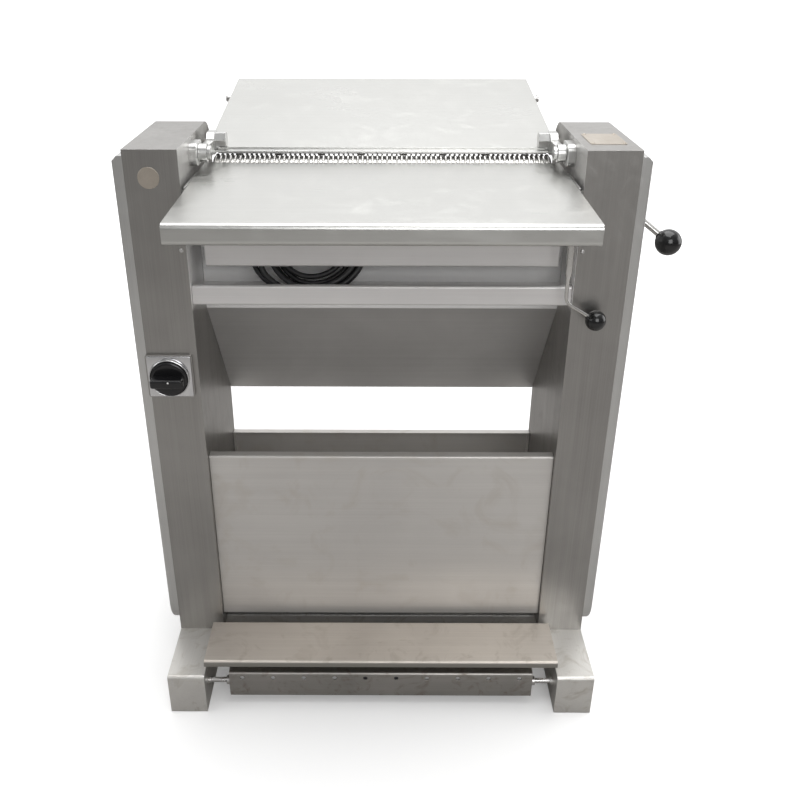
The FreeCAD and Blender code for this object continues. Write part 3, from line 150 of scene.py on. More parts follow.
# ---- grids to meshes ---------------------------------------------------------------------------
def piece(name, grids, body, finish, replaces=(), crease=35.0):
    """One mesh from grids of points, each (rows x columns x 3, join last row to first, join last column
    to first).  Doubles at poles and seams are merged and the faces turned outwards."""
    corners, faces, first = [], [], 0
    for points, round_rows, round_columns in grids:
        rows, columns = points.shape[:2]
        r, c = np.meshgrid(np.arange(rows if round_rows else rows - 1),
                           np.arange(columns if round_columns else columns - 1), indexing="ij")
        r1, c1 = (r + 1) % rows, (c + 1) % columns
        quads = np.stack([r * columns + c, r * columns + c1, r1 * columns + c1, r1 * columns + c], -1)
        faces.append(quads.reshape(-1, 4) + first)
        corners.append(points.reshape(-1, 3))
        first += rows * columns
    mesh = bpy.data.meshes.new(name)
    mesh.from_pydata(np.concatenate(corners).tolist(), [], np.concatenate(faces).tolist())
    shape = bmesh.new()
    shape.from_mesh(mesh)
    bmesh.ops.remove_doubles(shape, verts=shape.verts, dist=2e-6)
    bmesh.ops.dissolve_degenerate(shape, edges=shape.edges, dist=1e-6)
    bmesh.ops.recalc_face_normals(shape, faces=shape.faces)
    shape.to_mesh(mesh)
    shape.free()
    mesh.shade_smooth()
    mesh.set_sharp_from_angle(angle=radians(crease))
    thing = bpy.data.objects.new(name, mesh)
    scene.collection.objects.link(thing)
    mesh.materials.append(finish)
    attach(thing, body)
    if replaces:
        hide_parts(*replaces)
    return thing


def across(direction):
    """Two unit vectors square to a direction and to each other."""
    d = np.asarray(direction, float) / np.linalg.norm(direction)
    helper = np.array((0.0, 0.0, 1.0)) if abs(d[2]) < 0.9 else np.array((1.0, 0.0, 0.0))
    u = np.cross(helper, d)
    u /= np.linalg.norm(u)
    return d, u, np.cross(d, u)


def turned(profile, start, direction, steps=48, round_factor=None):
    """A turned part: profile point (s, r) at angle t is start + s d + r (cos t u + sin t v).
    round_factor multiplies each radius by its own factor at each angle, for hexagons and knurls."""
    d, u, v = across(direction)
    s, r = np.asarray(profile, float).T
    t = np.linspace(0, 2 * pi, steps, endpoint=False)
    radius = np.repeat(r[:, None], steps, 1)
    if round_factor is not None:
        radius = radius * round_factor
    ring = np.cos(t)[:, None] * u + np.sin(t)[:, None] * v
    grid = np.asarray(start) + s[:, None, None] * d + radius[:, :, None] * ring
    return grid, False, True


def hexagon(steps, turn=0.0):
    """Factor that makes a circle a hexagon with that circle inside it: 1 / cos of the angle past a flat."""
    t = np.linspace(0, 2 * pi, steps, endpoint=False) + turn
    return 1.0 / np.cos((t % (pi / 3)) - pi / 6)


def rounded(low, high, radius, fine=5):
    """A box with round edges: a ball's point n r moved outwards by the sign of n times the half size
    less r.  The ball's grid has each octant's border twice, so the moved octants leave flat faces."""
    low, high = np.asarray(low, float), np.asarray(high, float)
    half = (high - low) / 2
    quarter = np.linspace(0, pi / 2, fine)
    turn = np.concatenate([quarter + k * pi / 2 for k in range(4)])
    sx = np.concatenate([np.full(fine, a) for a in (1, -1, -1, 1)])
    sy = np.concatenate([np.full(fine, a) for a in (1, 1, -1, -1)])
    rise = np.concatenate([quarter - pi / 2, quarter])
    sz = np.concatenate([np.full(fine, -1), np.full(fine, 1)])
    x = radius * np.cos(rise)[:, None] * np.cos(turn) + sx * (half[0] - radius)
    y = radius * np.cos(rise)[:, None] * np.sin(turn) + sy * (half[1] - radius)
    z = np.repeat((radius * np.sin(rise) + sz * (half[2] - radius))[:, None], len(turn), 1)
    grid = np.stack([x, y, z], -1)
    below, above = (np.repeat(np.array([[[0, 0, z]]]), len(turn), 1) for z in (-half[2], half[2]))
    return np.concatenate([below, grid, above]) + (low + high) / 2, False, True


def bent_rod(path, radii, side, steps=20):
    """A rod of changing radius along a flat path: the ring at each point is spanned by side, which is
    square to the path's plane, and by side x tangent.  Both ends close in a point."""
    path, radii = np.asarray(path, float), np.asarray(radii, float)
    tangent = np.gradient(path, axis=0)
    tangent /= np.linalg.norm(tangent, axis=1)[:, None]
    up = np.cross(side, tangent)
    t = np.linspace(0, 2 * pi, steps, endpoint=False)
    ring = np.cos(t)[None, :, None] * np.asarray(side, float) + np.sin(t)[None, :, None] * up[:, None, :]
    grid = path[:, None, :] + radii[:, None, None] * ring
    first, last = np.repeat(path[:1, None], steps, 1), np.repeat(path[-1:, None], steps, 1)
    return np.concatenate([first, grid, last]), False, True


def spring_wire(start, end, radius, wire, turns):
    """A wound spring along X: the wire's centre goes round at the radius as x grows evenly, and its own
    ring is spanned by the radial direction and by X."""
    per_turn, sides = 24, 8
    f = np.linspace(0, 1, int(turns * per_turn))
    a = 2 * pi * turns * f
    radial = np.stack([np.zeros_like(a), np.cos(a), np.sin(a)], -1)
    centre = np.stack([start[0] + (end[0] - start[0]) * f, np.full_like(a, start[1]),
                       np.full_like(a, start[2])], -1) + radius * radial
    t = np.linspace(0, 2 * pi, sides, endpoint=False)
    ring = np.cos(t)[None, :, None] * radial[:, None] + np.sin(t)[None, :, None] * np.array((1.0, 0, 0))
    grid = centre[:, None] + wire * ring
    first, last = np.repeat(centre[:1, None], sides, 1), np.repeat(centre[-1:, None], sides, 1)
    return np.concatenate([first, grid, last]), False, True


def socket_screw(base, direction, head_r, head_height, shank_r, length):
    """A button-head screw: shank, domed head, and a hexagon socket sunk into the crown."""
    steps = 36
    socket = head_r * 0.42
    profile = np.array([(length, 0), (length, shank_r), (0.0001, shank_r), (0, head_r),
                        (-0.25 * head_height, head_r), (-0.62 * head_height, 0.9 * head_r),
                        (-0.9 * head_height, 0.66 * head_r), (-head_height, 0.5 * head_r),
                        (-head_height, socket), (-0.35 * head_height, socket), (-0.25 * head_height, 0)])
    factor = np.ones((len(profile), steps))
    factor[8:10] = hexagon(steps) * 0.9
    return turned(profile, base, direction, steps, factor)


# ---- shared effects ----------------------------------------------------------------------------
def effect(name, inputs, outputs):
    """An empty node group with named inputs (name, kind, value) and outputs (name, kind)."""
    tree = bpy.data.node_groups.new(name, "ShaderNodeTree")
    for label, kind, value in inputs:
        made = tree.interface.new_socket(label, in_out="INPUT", socket_type="NodeSocket" + kind)
        if value is not None:
            made.default_value = value
    for label, kind in outputs:
        tree.interface.new_socket(label, in_out="OUTPUT", socket_type="NodeSocket" + kind)
    return tree, tree.nodes.new("NodeGroupInput"), tree.nodes.new("NodeGroupOutput")


def put(tree, kind, values=None, **settings):
    """A node with its settings, and with values on its inputs by name or number."""
    node = tree.nodes.new("ShaderNode" + kind)
    for key, value in settings.items():
        setattr(node, key, value)
    for key, value in (values or {}).items():
        node.inputs[key].default_value = value
    return node


def sum_of(tree, operation, first, second, clamp=False):
    """A Math node on two inputs, each a number or an output."""
    node = put(tree, "Math", operation=operation, use_clamp=clamp)
    for slot, value in zip(node.inputs, (first, second)):
        if isinstance(value, (int, float)):
            slot.default_value = value
        else:
            tree.links.new(value, slot)
    return node.outputs[0]


def spread(tree, value, low, high, to_low, to_high):
    """A value stretched from one range to another and held there."""
    node = put(tree, "MapRange", {1: low, 2: high, 3: to_low, 4: to_high})
    tree.links.new(value, node.inputs[0])
    return node.outputs[0]


def blend_colour(tree, amount, first, second):
    """A colour between two, each a colour or an output."""
    node = put(tree, "Mix", data_type="RGBA")
    for slot, value in zip((node.inputs[0], node.inputs[6], node.inputs[7]), (amount, first, second)):
        if isinstance(value, (int, float)):
            slot.default_value = value
        elif isinstance(value, tuple):
            slot.default_value = (*value, 1.0)
        else:
            tree.links.new(value, slot)
    return node.outputs[2]


def make_brush_lines():
    """Fine grinding lines and the broader bands they come in; the vector arrives already stretched."""
    tree, given, out = effect("brush_lines", [("Vector", "Vector", None)],
                              [("Lines", "Float"), ("Bands", "Float")])
    fine = put(tree, "TexNoise", {"Scale": 1.0, "Detail": 3.0, "Roughness": 0.65})
    wide = put(tree, "TexNoise", {"Scale": 0.14, "Detail": 2.0, "Roughness": 0.5})
    for noise in (fine, wide):
        tree.links.new(given.outputs["Vector"], noise.inputs["Vector"])
    tree.links.new(spread(tree, fine.outputs[0], 0.3, 0.7, 0, 1), out.inputs["Lines"])
    tree.links.new(spread(tree, wide.outputs[0], 0.3, 0.7, 0, 1), out.inputs["Bands"])
    return tree


def make_handling():
    """Cloudy tone and small wipe marks left by use and cleaning."""
    tree, given, out = effect("handling", [("Vector", "Vector", None), ("Size", "Float", 6.0)],
                              [("Clouds", "Float"), ("Wipes", "Float")])
    clouds = put(tree, "TexNoise", {"Detail": 3.0, "Roughness": 0.55, "Distortion": 0.4})
    tree.links.new(given.outputs["Vector"], clouds.inputs["Vector"])
    tree.links.new(given.outputs["Size"], clouds.inputs["Scale"])
    wipes = put(tree, "TexNoise", {"Detail": 4.0, "Roughness": 0.6, "Distortion": 2.5})
    tree.links.new(given.outputs["Vector"], wipes.inputs["Vector"])
    tree.links.new(sum_of(tree, "MULTIPLY", given.outputs["Size"], 3.0), wipes.inputs["Scale"])
    tree.links.new(spread(tree, clouds.outputs[0], 0.3, 0.7, 0, 1), out.inputs["Clouds"])
    tree.links.new(spread(tree, wipes.outputs[0], 0.52, 0.72, 0, 1), out.inputs["Wipes"])
    return tree


def make_soft_edge():
    """A rounded-over normal, and a mask of the edges where it leaves the flat face."""
    tree, given, out = effect("soft_edge", [("Radius", "Float", 0.001)],
                              [("Edge", "Float"), ("Normal", "Vector")])
    bevel = put(tree, "Bevel", samples=4)
    tree.links.new(given.outputs["Radius"], bevel.inputs["Radius"])
    flat = put(tree, "NewGeometry")
    dot = put(tree, "VectorMath", operation="DOT_PRODUCT")
    tree.links.new(bevel.outputs[0], dot.inputs[0])
    tree.links.new(flat.outputs["Normal"], dot.inputs[1])
    tree.links.new(spread(tree, dot.outputs["Value"], 1.0, 0.75, 0, 1), out.inputs["Edge"])
    tree.links.new(bevel.outputs[0], out.inputs["Normal"])
    return tree


BRUSH_LINES, HANDLING, SOFT_EDGE = make_brush_lines(), make_handling(), make_soft_edge()


def effect_in(tree, made, links):
    """A node group put to use, its inputs fed by numbers or outputs."""
    node = tree.nodes.new("ShaderNodeGroup")
    node.node_tree = made
    for key, value in links.items():
        if isinstance(value, (int, float)):
            node.inputs[key].default_value = value
        else:
            tree.links.new(value, node.inputs[key])
    return node.outputs


# ---- finishes ----------------------------------------------------------------------------------
def blank_finish(name):
    """A new material: itself, its tree, its shader, and the piece's own coordinates."""
    finish = bpy.data.materials.new(name)
    finish.use_nodes = True
    tree = finish.node_tree
    shader = tree.nodes["Principled BSDF"]
    return finish, tree, shader, put(tree, "TexCoord").outputs["Object"]


def brushed_metal(name, deep, light, rough, grain, metal=1.0, edge=1.0, size=6.0, marks=0.35, lines=0.4,
                  stain=None, relief=0.12, painted_light_patch=None):
    """Ground or polished metal.  grain is the stretch of the lines along X, Y and Z, small along the
    grain; tone runs from deep to light with lines and clouds, wipe marks dull it, and the edges are
    lightened in colour as a painted highlight.
    The last argument is a colour and a mask maker: a painted light or painted shade, plain and not metallic,
    on one part of the sheet."""
    finish, tree, shader, place = blank_finish(name)
    stretch = put(tree, "Mapping", {"Scale": grain})
    tree.links.new(place, stretch.inputs["Vector"])
    brush = effect_in(tree, BRUSH_LINES, {"Vector": stretch.outputs[0]})
    use = effect_in(tree, HANDLING, {"Vector": place, "Size": size})
    rim = effect_in(tree, SOFT_EDGE, {"Radius": edge * MM})
    tone = sum_of(tree, "ADD", sum_of(tree, "MULTIPLY", brush["Lines"], lines * 0.6),
                  sum_of(tree, "MULTIPLY", brush["Bands"], lines * 0.4))
    tone = sum_of(tree, "ADD", tone, sum_of(tree, "MULTIPLY", use["Clouds"], 1 - lines), clamp=True)
    colour = blend_colour(tree, tone, deep, light)
    if stain:
        colour = blend_colour(tree, sum_of(tree, "MULTIPLY", use["Wipes"], 0.5), colour, stain)
    # Painted highlight: the colour is lightened past the light tone where the soft edge leaves the flat face.
    colour = blend_colour(tree, sum_of(tree, "MULTIPLY", rim["Edge"], 0.55), colour,
                          tuple(min(1.0, c * 1.35 + 0.08) for c in light))
    # Painted light or painted shade: a mask by position puts a plain, non-metallic colour on part of the
    # sheet.
    if painted_light_patch:
        other, painted_mask_of = painted_light_patch
        mask = painted_mask_of(tree, place)
        colour = blend_colour(tree, mask, colour, other)
        tree.links.new(spread(tree, mask, 0, 1, metal, 0.0), shader.inputs["Metallic"])
    tree.links.new(colour, shader.inputs["Base Color"])
    dull = sum_of(tree, "MULTIPLY", use["Wipes"], marks * 0.25)
    dull = sum_of(tree, "ADD", dull, spread(tree, tone, 0, 1, rough + 0.05, rough - 0.05))
    tree.links.new(dull, shader.inputs["Roughness"])
    shader.inputs["Metallic"].default_value = metal
    bump = put(tree, "Bump", {"Strength": relief, "Distance": 0.0004})
    tree.links.new(brush["Lines"], bump.inputs["Height"])
    tree.links.new(rim["Normal"], bump.inputs["Normal"])
    tree.links.new(bump.outputs[0], shader.inputs["Normal"])
    return finish


def moulded(name, colour, rough, coat=0.0, pebble=900.0, relief=0.08, dust=0.1, edge=0.6):
    """Moulded plastic or rubber: a fine pebble, cloudy dust, and paler edges that are partly wear and partly
    a painted highlight.
    """
    finish, tree, shader, place = blank_finish(name)
    use = effect_in(tree, HANDLING, {"Vector": place, "Size": 22.0})
    rim = effect_in(tree, SOFT_EDGE, {"Radius": edge * MM})
    skin = put(tree, "TexNoise", {"Scale": pebble, "Detail": 2.0})
    tree.links.new(place, skin.inputs["Vector"])
    pale = tuple(min(1.0, c + 0.10) for c in colour)
    tone = blend_colour(tree, sum_of(tree, "MULTIPLY", use["Clouds"], dust), colour, pale)
    # Paler edges: partly wear, partly a painted highlight.
    tone = blend_colour(tree, sum_of(tree, "MULTIPLY", rim["Edge"], 0.25), tone, pale)
    tree.links.new(tone, shader.inputs["Base Color"])
    tree.links.new(spread(tree, use["Clouds"], 0, 1, rough, rough + 0.08), shader.inputs["Roughness"])
    shader.inputs["Coat Weight"].default_value = coat
    shader.inputs["Coat Roughness"].default_value = 0.06
    bump = put(tree, "Bump", {"Strength": relief, "Distance": 0.0002})
    tree.links.new(skin.outputs[0], bump.inputs["Height"])
    tree.links.new(rim["Normal"], bump.inputs["Normal"])
    tree.links.new(bump.outputs[0], shader.inputs["Normal"])
    return finish


# Bounds of the masks for painted light on the chute's upright wall and the columns' inner faces, and for
# painted shade on the pedal's front lip.
CHUTE_FACE, CHUTE_BEND = (-0.0248, -0.0244), (0.5945, 0.5965)      # across Y and up Z
PEDAL_LIP = (-0.2190, -0.2180)
CHEEK_FACE, CHEEK_FRONT = (0.2590, 0.2592), (-0.030, -0.024)
CHEEK_FOOT, CHEEK_HEAD, CHEEK_REST = (0.630, 0.645), (0.745, 0.760), 0.2


def painted_light_upper_wall(tree, place):
    """Mask for painted light: the front of the chute's upright wall and the round of its bend, which sit in
    shade, are painted near white.
    """
    front = spread(tree, axis_of(tree, place, "Y"), *CHUTE_FACE, 1.0, 0.0)
    above = spread(tree, axis_of(tree, place, "Z"), *CHUTE_BEND, 0.0, 1.0)
    return sum_of(tree, "MULTIPLY", front, above)


def painted_shade_front_lip(tree, place):
    """Mask for painted shade: the turned-down front edge of the pedal, made darker than its tread."""
    return spread(tree, axis_of(tree, place, "Y"), *PEDAL_LIP, 1.0, 0.0)


def painted_light_bay_cheek(tree, place):
    """Mask for painted light: the inner faces of the columns in front of the chute, from the trough up to the
    table, which sit in shade.
    """
    width = sum_of(tree, "ABSOLUTE", axis_of(tree, place, "X"), 0.0)
    inside = spread(tree, width, *CHEEK_FACE, 1.0, 0.0)
    height = axis_of(tree, place, "Z")
    band = sum_of(tree, "MULTIPLY", spread(tree, height, *CHEEK_FOOT, 0.0, 1.0),
                  spread(tree, height, *CHEEK_HEAD, 1.0, CHEEK_REST))
    front = spread(tree, axis_of(tree, place, "Y"), *CHEEK_FRONT, 1.0, 0.0)
    return sum_of(tree, "MULTIPLY", sum_of(tree, "MULTIPLY", inside, band), front)


def axis_of(tree, place, axis):
    """One coordinate of a place."""
    parts = put(tree, "SeparateXYZ")
    tree.links.new(place, parts.inputs[0])
    return parts.outputs[axis]


ALONG_X, ALONG_Y, ALONG_Z = (5.0, 620.0, 620.0), (620.0, 5.0, 620.0), (620.0, 620.0, 5.0)
# The near-white patch is painted light on the columns' inner faces in front of the chute, which sit in shade.
COLUMN_SHEET = brushed_metal("column_sheet", (0.285, 0.275, 0.265), (0.415, 0.405, 0.39), 0.36,
                             ALONG_Z, lines=0.55, painted_light_patch=((0.92, 0.91, 0.90), painted_light_bay_cheek))
COVER_SHEET = brushed_metal("cover_sheet", (0.52, 0.52, 0.51), (0.68, 0.68, 0.67), 0.34, ALONG_Z,
                            lines=0.5)
SKID_SHEET = brushed_metal("skid_sheet", (0.62, 0.605, 0.58), (0.78, 0.765, 0.73), 0.40, ALONG_Y,
                           metal=0.75, lines=0.4, stain=(0.42, 0.38, 0.32))
PANEL_SHEET = brushed_metal("panel_sheet", (0.56, 0.54, 0.52), (0.70, 0.68, 0.65), 0.42, ALONG_X,
                            metal=0.55, size=3.0, stain=(0.55, 0.51, 0.46))
TABLE_SHEET = brushed_metal("table_sheet", (0.56, 0.56, 0.54), (0.66, 0.66, 0.64), 0.30, ALONG_X,
                            size=4.0, lines=0.35, relief=0.03, edge=0.6)
# The near-white patch is painted light on the chute's upright wall, which sits in shade.
INNER_SHEET = brushed_metal("inner_sheet", (0.52, 0.51, 0.50), (0.66, 0.65, 0.64), 0.40, ALONG_X,
                            metal=0.55, size=5.0, painted_light_patch=((0.97, 0.965, 0.96), painted_light_upper_wall))
APRON_SHEET = brushed_metal("apron_sheet", (0.68, 0.665, 0.66), (0.80, 0.785, 0.775), 0.42, ALONG_X,
                            metal=0.5, size=5.0)
# Painted light: the trough's steel is made near white and barely metallic so that a wall in deep shade reads
# bright.
TROUGH_SHEET_PAINTED_LIGHT = brushed_metal("trough_painted_light_sheet", (0.80, 0.79, 0.78), (0.90, 0.89, 0.88), 0.34, ALONG_X,
                             metal=0.25, size=5.0, lines=0.3)
# The dark patch is painted shade on the pedal's turned-down front lip.
TREAD_SHEET = brushed_metal("tread_sheet", (0.50, 0.455, 0.41), (0.68, 0.63, 0.57), 0.42, ALONG_X,
                            metal=0.7, size=5.0, stain=(0.42, 0.37, 0.31), marks=0.6,
                            painted_light_patch=((0.20, 0.19, 0.17), painted_shade_front_lip))
BEAM_SHEET = brushed_metal("beam_sheet", (0.34, 0.33, 0.31), (0.50, 0.48, 0.46), 0.42, ALONG_X, size=9.0,
                           stain=(0.22, 0.17, 0.12), marks=0.6)
MACHINED = brushed_metal("machined_block", (0.50, 0.50, 0.49), (0.68, 0.68, 0.67), 0.30, ALONG_Z,
                         size=12.0, edge=1.4)
TOOTH_STEEL = brushed_metal("tooth_steel", (0.50, 0.49, 0.47), (0.70, 0.69, 0.67), 0.30, ALONG_X,
                            size=14.0)
BLADE_STEEL = brushed_metal("ground_blade", (0.62, 0.62, 0.62), (0.78, 0.78, 0.79), 0.20, ALONG_X,
                            size=8.0)
BRIGHT_ROD = brushed_metal("bright_rod", (0.56, 0.55, 0.53), (0.72, 0.71, 0.69), 0.20,
                           (300.0, 300.0, 60.0), size=20.0, relief=0.05)
SCREW_STEEL = brushed_metal("screw_steel", (0.52, 0.51, 0.50), (0.70, 0.69, 0.68), 0.28, (500.0,) * 3,
                            size=30.0)
SPRING_STEEL = brushed_metal("spring_steel", (0.30, 0.30, 0.31), (0.46, 0.46, 0.46), 0.32, (400.0,) * 3,
                             size=40.0)
CHAIN_STEEL = brushed_metal("oiled_chain", (0.12, 0.11, 0.10), (0.26, 0.25, 0.23), 0.34, (300.0,) * 3,
                            size=40.0, stain=(0.05, 0.04, 0.03))
CAST_IRON = brushed_metal("cast_iron", (0.10, 0.11, 0.12), (0.17, 0.18, 0.19), 0.50, (200.0,) * 3,
                          metal=0.4, size=30.0)
BRONZE = brushed_metal("bush_bronze", (0.42, 0.27, 0.12), (0.58, 0.39, 0.18), 0.34, (300.0,) * 3,
                       size=40.0)
CHROME = brushed_metal("chromed_ring", (0.62, 0.62, 0.63), (0.78, 0.78, 0.79), 0.12, (200.0,) * 3,
                       size=30.0, relief=0.02)
FOIL = brushed_metal("plate_foil", (0.36, 0.32, 0.27), (0.50, 0.45, 0.39), 0.38, ALONG_Y, metal=0.7,
                     size=30.0)
MOTOR_PAINT = moulded("motor_paint", (0.055, 0.085, 0.12), 0.38, coat=0.2, pebble=500.0, relief=0.2)
GEARBOX_PAINT = moulded("gearbox_paint", (0.16, 0.17, 0.18), 0.45, coat=0.1, pebble=260.0, relief=0.35)
KNOB_BLACK = moulded("knob_black", (0.006, 0.006, 0.0065), 0.12, coat=0.15, pebble=300.0, relief=0.01,
                     dust=0.02)
SWITCH_BLACK = moulded("switch_black", (0.006, 0.006, 0.007), 0.20, coat=0.1, pebble=700.0, relief=0.02,
                       dust=0.04)
DOT_WHITE = moulded("dot_white", (0.82, 0.82, 0.80), 0.4, pebble=900.0)
SWITCH_CASE = moulded("switch_case", (0.05, 0.05, 0.055), 0.45, pebble=900.0, relief=0.12)
NYLON = moulded("gland_nylon", (0.02, 0.02, 0.022), 0.42, pebble=1200.0, relief=0.1)
CABLE_RUBBER = moulded("cable_rubber", (0.010, 0.010, 0.011), 0.42, pebble=1500.0, relief=0.14, dust=0.25)
PLUG_RUBBER = moulded("plug_rubber", (0.02, 0.02, 0.022), 0.48, pebble=900.0, relief=0.16, dust=0.3)
PIN_BRASS = brushed_metal("pin_brass", (0.62, 0.50, 0.26), (0.76, 0.62, 0.34), 0.25, (300.0,) * 3,
                          size=40.0)

FINISH_OF = {
    COLUMN_SHEET: "left_column right_column switch_backplate upper_beam",
    COVER_SHEET: "left_side_cover right_side_cover",
    SKID_SHEET: "left_foot right_foot base_crossmembers motor_shelf",
    PANEL_SHEET: "lower_front_panel rear_lower_panel compartment_lid",
    TABLE_SHEET: "infeed_table outfeed_plate",
    INNER_SHEET: "skin_chute chute_cleats",
    TROUGH_SHEET_PAINTED_LIGHT: "cable_trough",
    APRON_SHEET: "front_crossbar apron",
    TREAD_SHEET: "pedal_plate",
    BEAM_SHEET: "pedal_beam",
    MACHINED: "table_brackets knife_holder blade_clamp carrier_arms pivot_blocks stripper_comb "
              "adjust_brackets roller_sprocket motor_sprocket",
    TOOTH_STEEL: "tooth_roller",
    BLADE_STEEL: "blade",
    BRIGHT_ROD: "roller_shaft lift_shaft lift_rod adjust_shaft lever_rod pedal_shaft rest_studs",
    SCREW_STEEL: "panel_screws carrier_screws beam_bolts",
    SPRING_STEEL: "pedal_springs",
    CHAIN_STEEL: "drive_chain",
    CAST_IRON: "roller_bearings",
    BRONZE: "lift_bushes",
    CHROME: "switch_escutcheon",
    FOIL: "blank_plates",
    MOTOR_PAINT: "motor",
    GEARBOX_PAINT: "gearbox",
    KNOB_BLACK: "lift_knob lever_knob",
    SWITCH_BLACK: "switch_knob",
    SWITCH_CASE: "switch_body pedal_switch",
    NYLON: "cable_gland",
    CABLE_RUBBER: "power_cord cord_coil",
    PLUG_RUBBER: "plug",
}


def dress_nodes():
    """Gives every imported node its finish."""
    for finish, names in FINISH_OF.items():
        for name in names.split():
            mesh = nodes[name].data
            mesh.materials.clear()
            mesh.materials.append(finish)


# ---- the head ----------------------------------------------------------------------------------
ROLLER_AT = np.array((0.0, 37.5, 772.0)) * MM


def make_tooth_roller():
    """Sixty-nine toothed rings turned on one bar.

    Over each ring's pitch the height goes groove, flank, crest, flank.  Round the ring each tooth is
    three points read from a saw of three heights, half a tooth further on in every other ring.
    """
    rings, teeth, per_tooth = 69, 60, 3
    half, low, high = 240 * MM, 37 * MM, 40 * MM
    pitch = 2 * half / rings
    share = np.array((0.0, 0.22, 0.36, 0.64, 0.78))
    height = np.array((0.0, 0.0, 1.0, 1.0, 0.0))
    x = (np.arange(rings)[:, None] + share).ravel() * pitch - half
    crest = np.tile(height, rings)
    step = np.repeat(np.arange(rings) % 2 * 0.5, len(share))
    around = np.arange(teeth * per_tooth) / per_tooth
    saw = (around[None, :] + step[:, None]) % 1.0
    saw = np.where(saw < 0.34, 1.0, np.where(saw < 0.67, 0.55, 0.12))
    radius = low + (high - low) * crest[:, None] * (0.25 + 0.75 * saw)
    x = np.concatenate([[-half], x, [half, half]])
    shaft_bore = 12.05 * MM
    bore = np.full((1, radius.shape[1]), shaft_bore)
    end = np.full((1, radius.shape[1]), low)
    radius = np.concatenate([bore, radius, end, bore])
    t = around * 2 * pi / teeth
    along = np.repeat(x[:, None], len(t), 1)
    grid = np.stack([along, radius * np.cos(t), radius * np.sin(t)], -1) + ROLLER_AT
    piece("toothed_roller", [(grid, True, True)], "roller", TOOTH_STEEL, ["tooth_roller"],
          crease=28.0)


# ---- levers and knobs --------------------------------------------------------------------------
def ball_profile(radius, neck, flat):
    """Half a circle from the far pole to a small flat collar round the stem, as (distance, radius)."""
    a = np.linspace(0, pi - neck, 26)
    around = [(-radius * cos(t), radius * sin(t)) for t in a]
    return around + [(around[-1][0] + flat, around[-1][1] * 0.96), (around[-1][0] + flat, 0.0)]


def make_lift_lever():
    """Outside lever: turned hub, a bent rod that runs down and then out to the ball, and the ball.

    The bend is a quadratic curve between the two runs, (1-t)^2 a + 2t(1-t) b + t^2 c.
    """
    hub = np.array((346.0, -11.5, 784.0)) * MM
    knob = np.array((403.5, -37.5, 706.5)) * MM
    top = np.array((357.0, -11.5, 776.0)) * MM
    elbow = np.array((357.0, -11.5, 741.0)) * MM
    along = (knob - elbow) / np.linalg.norm(knob - elbow)
    down = np.array((0.0, 0.0, -1.0))
    bend = 9 * MM             # from the elbow to each end of its bend
    t = np.linspace(0, 1, 9)[:, None]
    a, c = elbow - down * bend, elbow + along * bend
    bow = (1 - t) ** 2 * a + 2 * t * (1 - t) * elbow + t ** 2 * c
    last = knob - along * 11 * MM
    path = np.concatenate([top[None], top[None] + down * 12 * MM, bow, (c + last)[None] / 2, last[None]])
    radii = np.array([5.4, 4.8] + [4.6] * 9 + [4.5, 4.3]) * MM
    side = np.cross(down, along)
    boss = [(0, 0), (0, 11.2), (0.8, 12), (16.5, 12), (18.6, 11.4), (19.7, 9.8), (20, 7.5), (20, 3.4),
            (18.8, 3.0), (18.8, 0)]
    piece("lift_lever_arm", [turned(np.array(boss) * MM, hub, (1, 0, 0), 56),
                             bent_rod(path, radii, side / np.linalg.norm(side), 24)],
          "lift_lever", BRIGHT_ROD, ["lift_rod"])
    piece("lift_lever_ball", [turned(np.array(ball_profile(18.5, 0.34, 1.2)) * MM, knob, -along, 56)],
          "lift_lever", KNOB_BLACK, ["lift_knob"])


def make_thickness_lever():
    """Front lever: hub on the adjusting shaft, stout sleeve, thin bent rod and a small ball.

    The rod's line is two straight runs with a quadratic curve between them, (1-t)^2 a + 2t(1-t) b + t^2 c.
    """
    x, y, z = 245.8, -137.5, 748.0                      # the adjusting shaft's end, in millimetres
    knob = np.array((288.8, -137.5, 628.0))
    elbow = np.array((x, y, 654.0))
    run = (knob - elbow) / np.linalg.norm(knob - elbow)
    bend = 11.0               # from the elbow to each end of its bend
    a, c = elbow + np.array((0, 0, bend)), elbow + run * bend
    t = np.linspace(0, 1, 9)[:, None]
    bow = (1 - t) ** 2 * a + 2 * t * (1 - t) * elbow + t ** 2 * c
    top = np.array([(x, y, z - drop) for drop in (9, 11, 52, 55, 58, 64, 74)])
    last = knob - run * 9.0
    path = np.concatenate([top, bow, (c + last)[None] / 2, last[None]]) * MM
    radii = np.array([4.6, 4.6, 4.6, 4.3, 3.4, 2.6, 2.5] + [2.5] * 9 + [2.5, 2.5]) * MM
    hub = [(0, 0), (0, 9.8), (1.2, 11), (10.8, 11), (12, 9.8), (12, 6), (11, 5), (11, 0)]
    piece("thickness_lever_rod", [bent_rod(path, radii, (0, 1, 0)),
                                  turned(np.array(hub) * MM, np.array((x - 6, y, z)) * MM, (1, 0, 0), 40)],
          "thickness_lever", BRIGHT_ROD, ["lever_rod"])
    ball = turned(np.array(ball_profile(14.0, 0.36, 1.0)) * MM, knob * MM, -run, 48)
    piece("thickness_lever_ball", [ball], "thickness_lever", KNOB_BLACK, ["lever_knob"])


# ---- switch ------------------------------------------------------------------------------------
SWITCH_AT = np.array((-299.0, -123.5, 535.0)) * MM


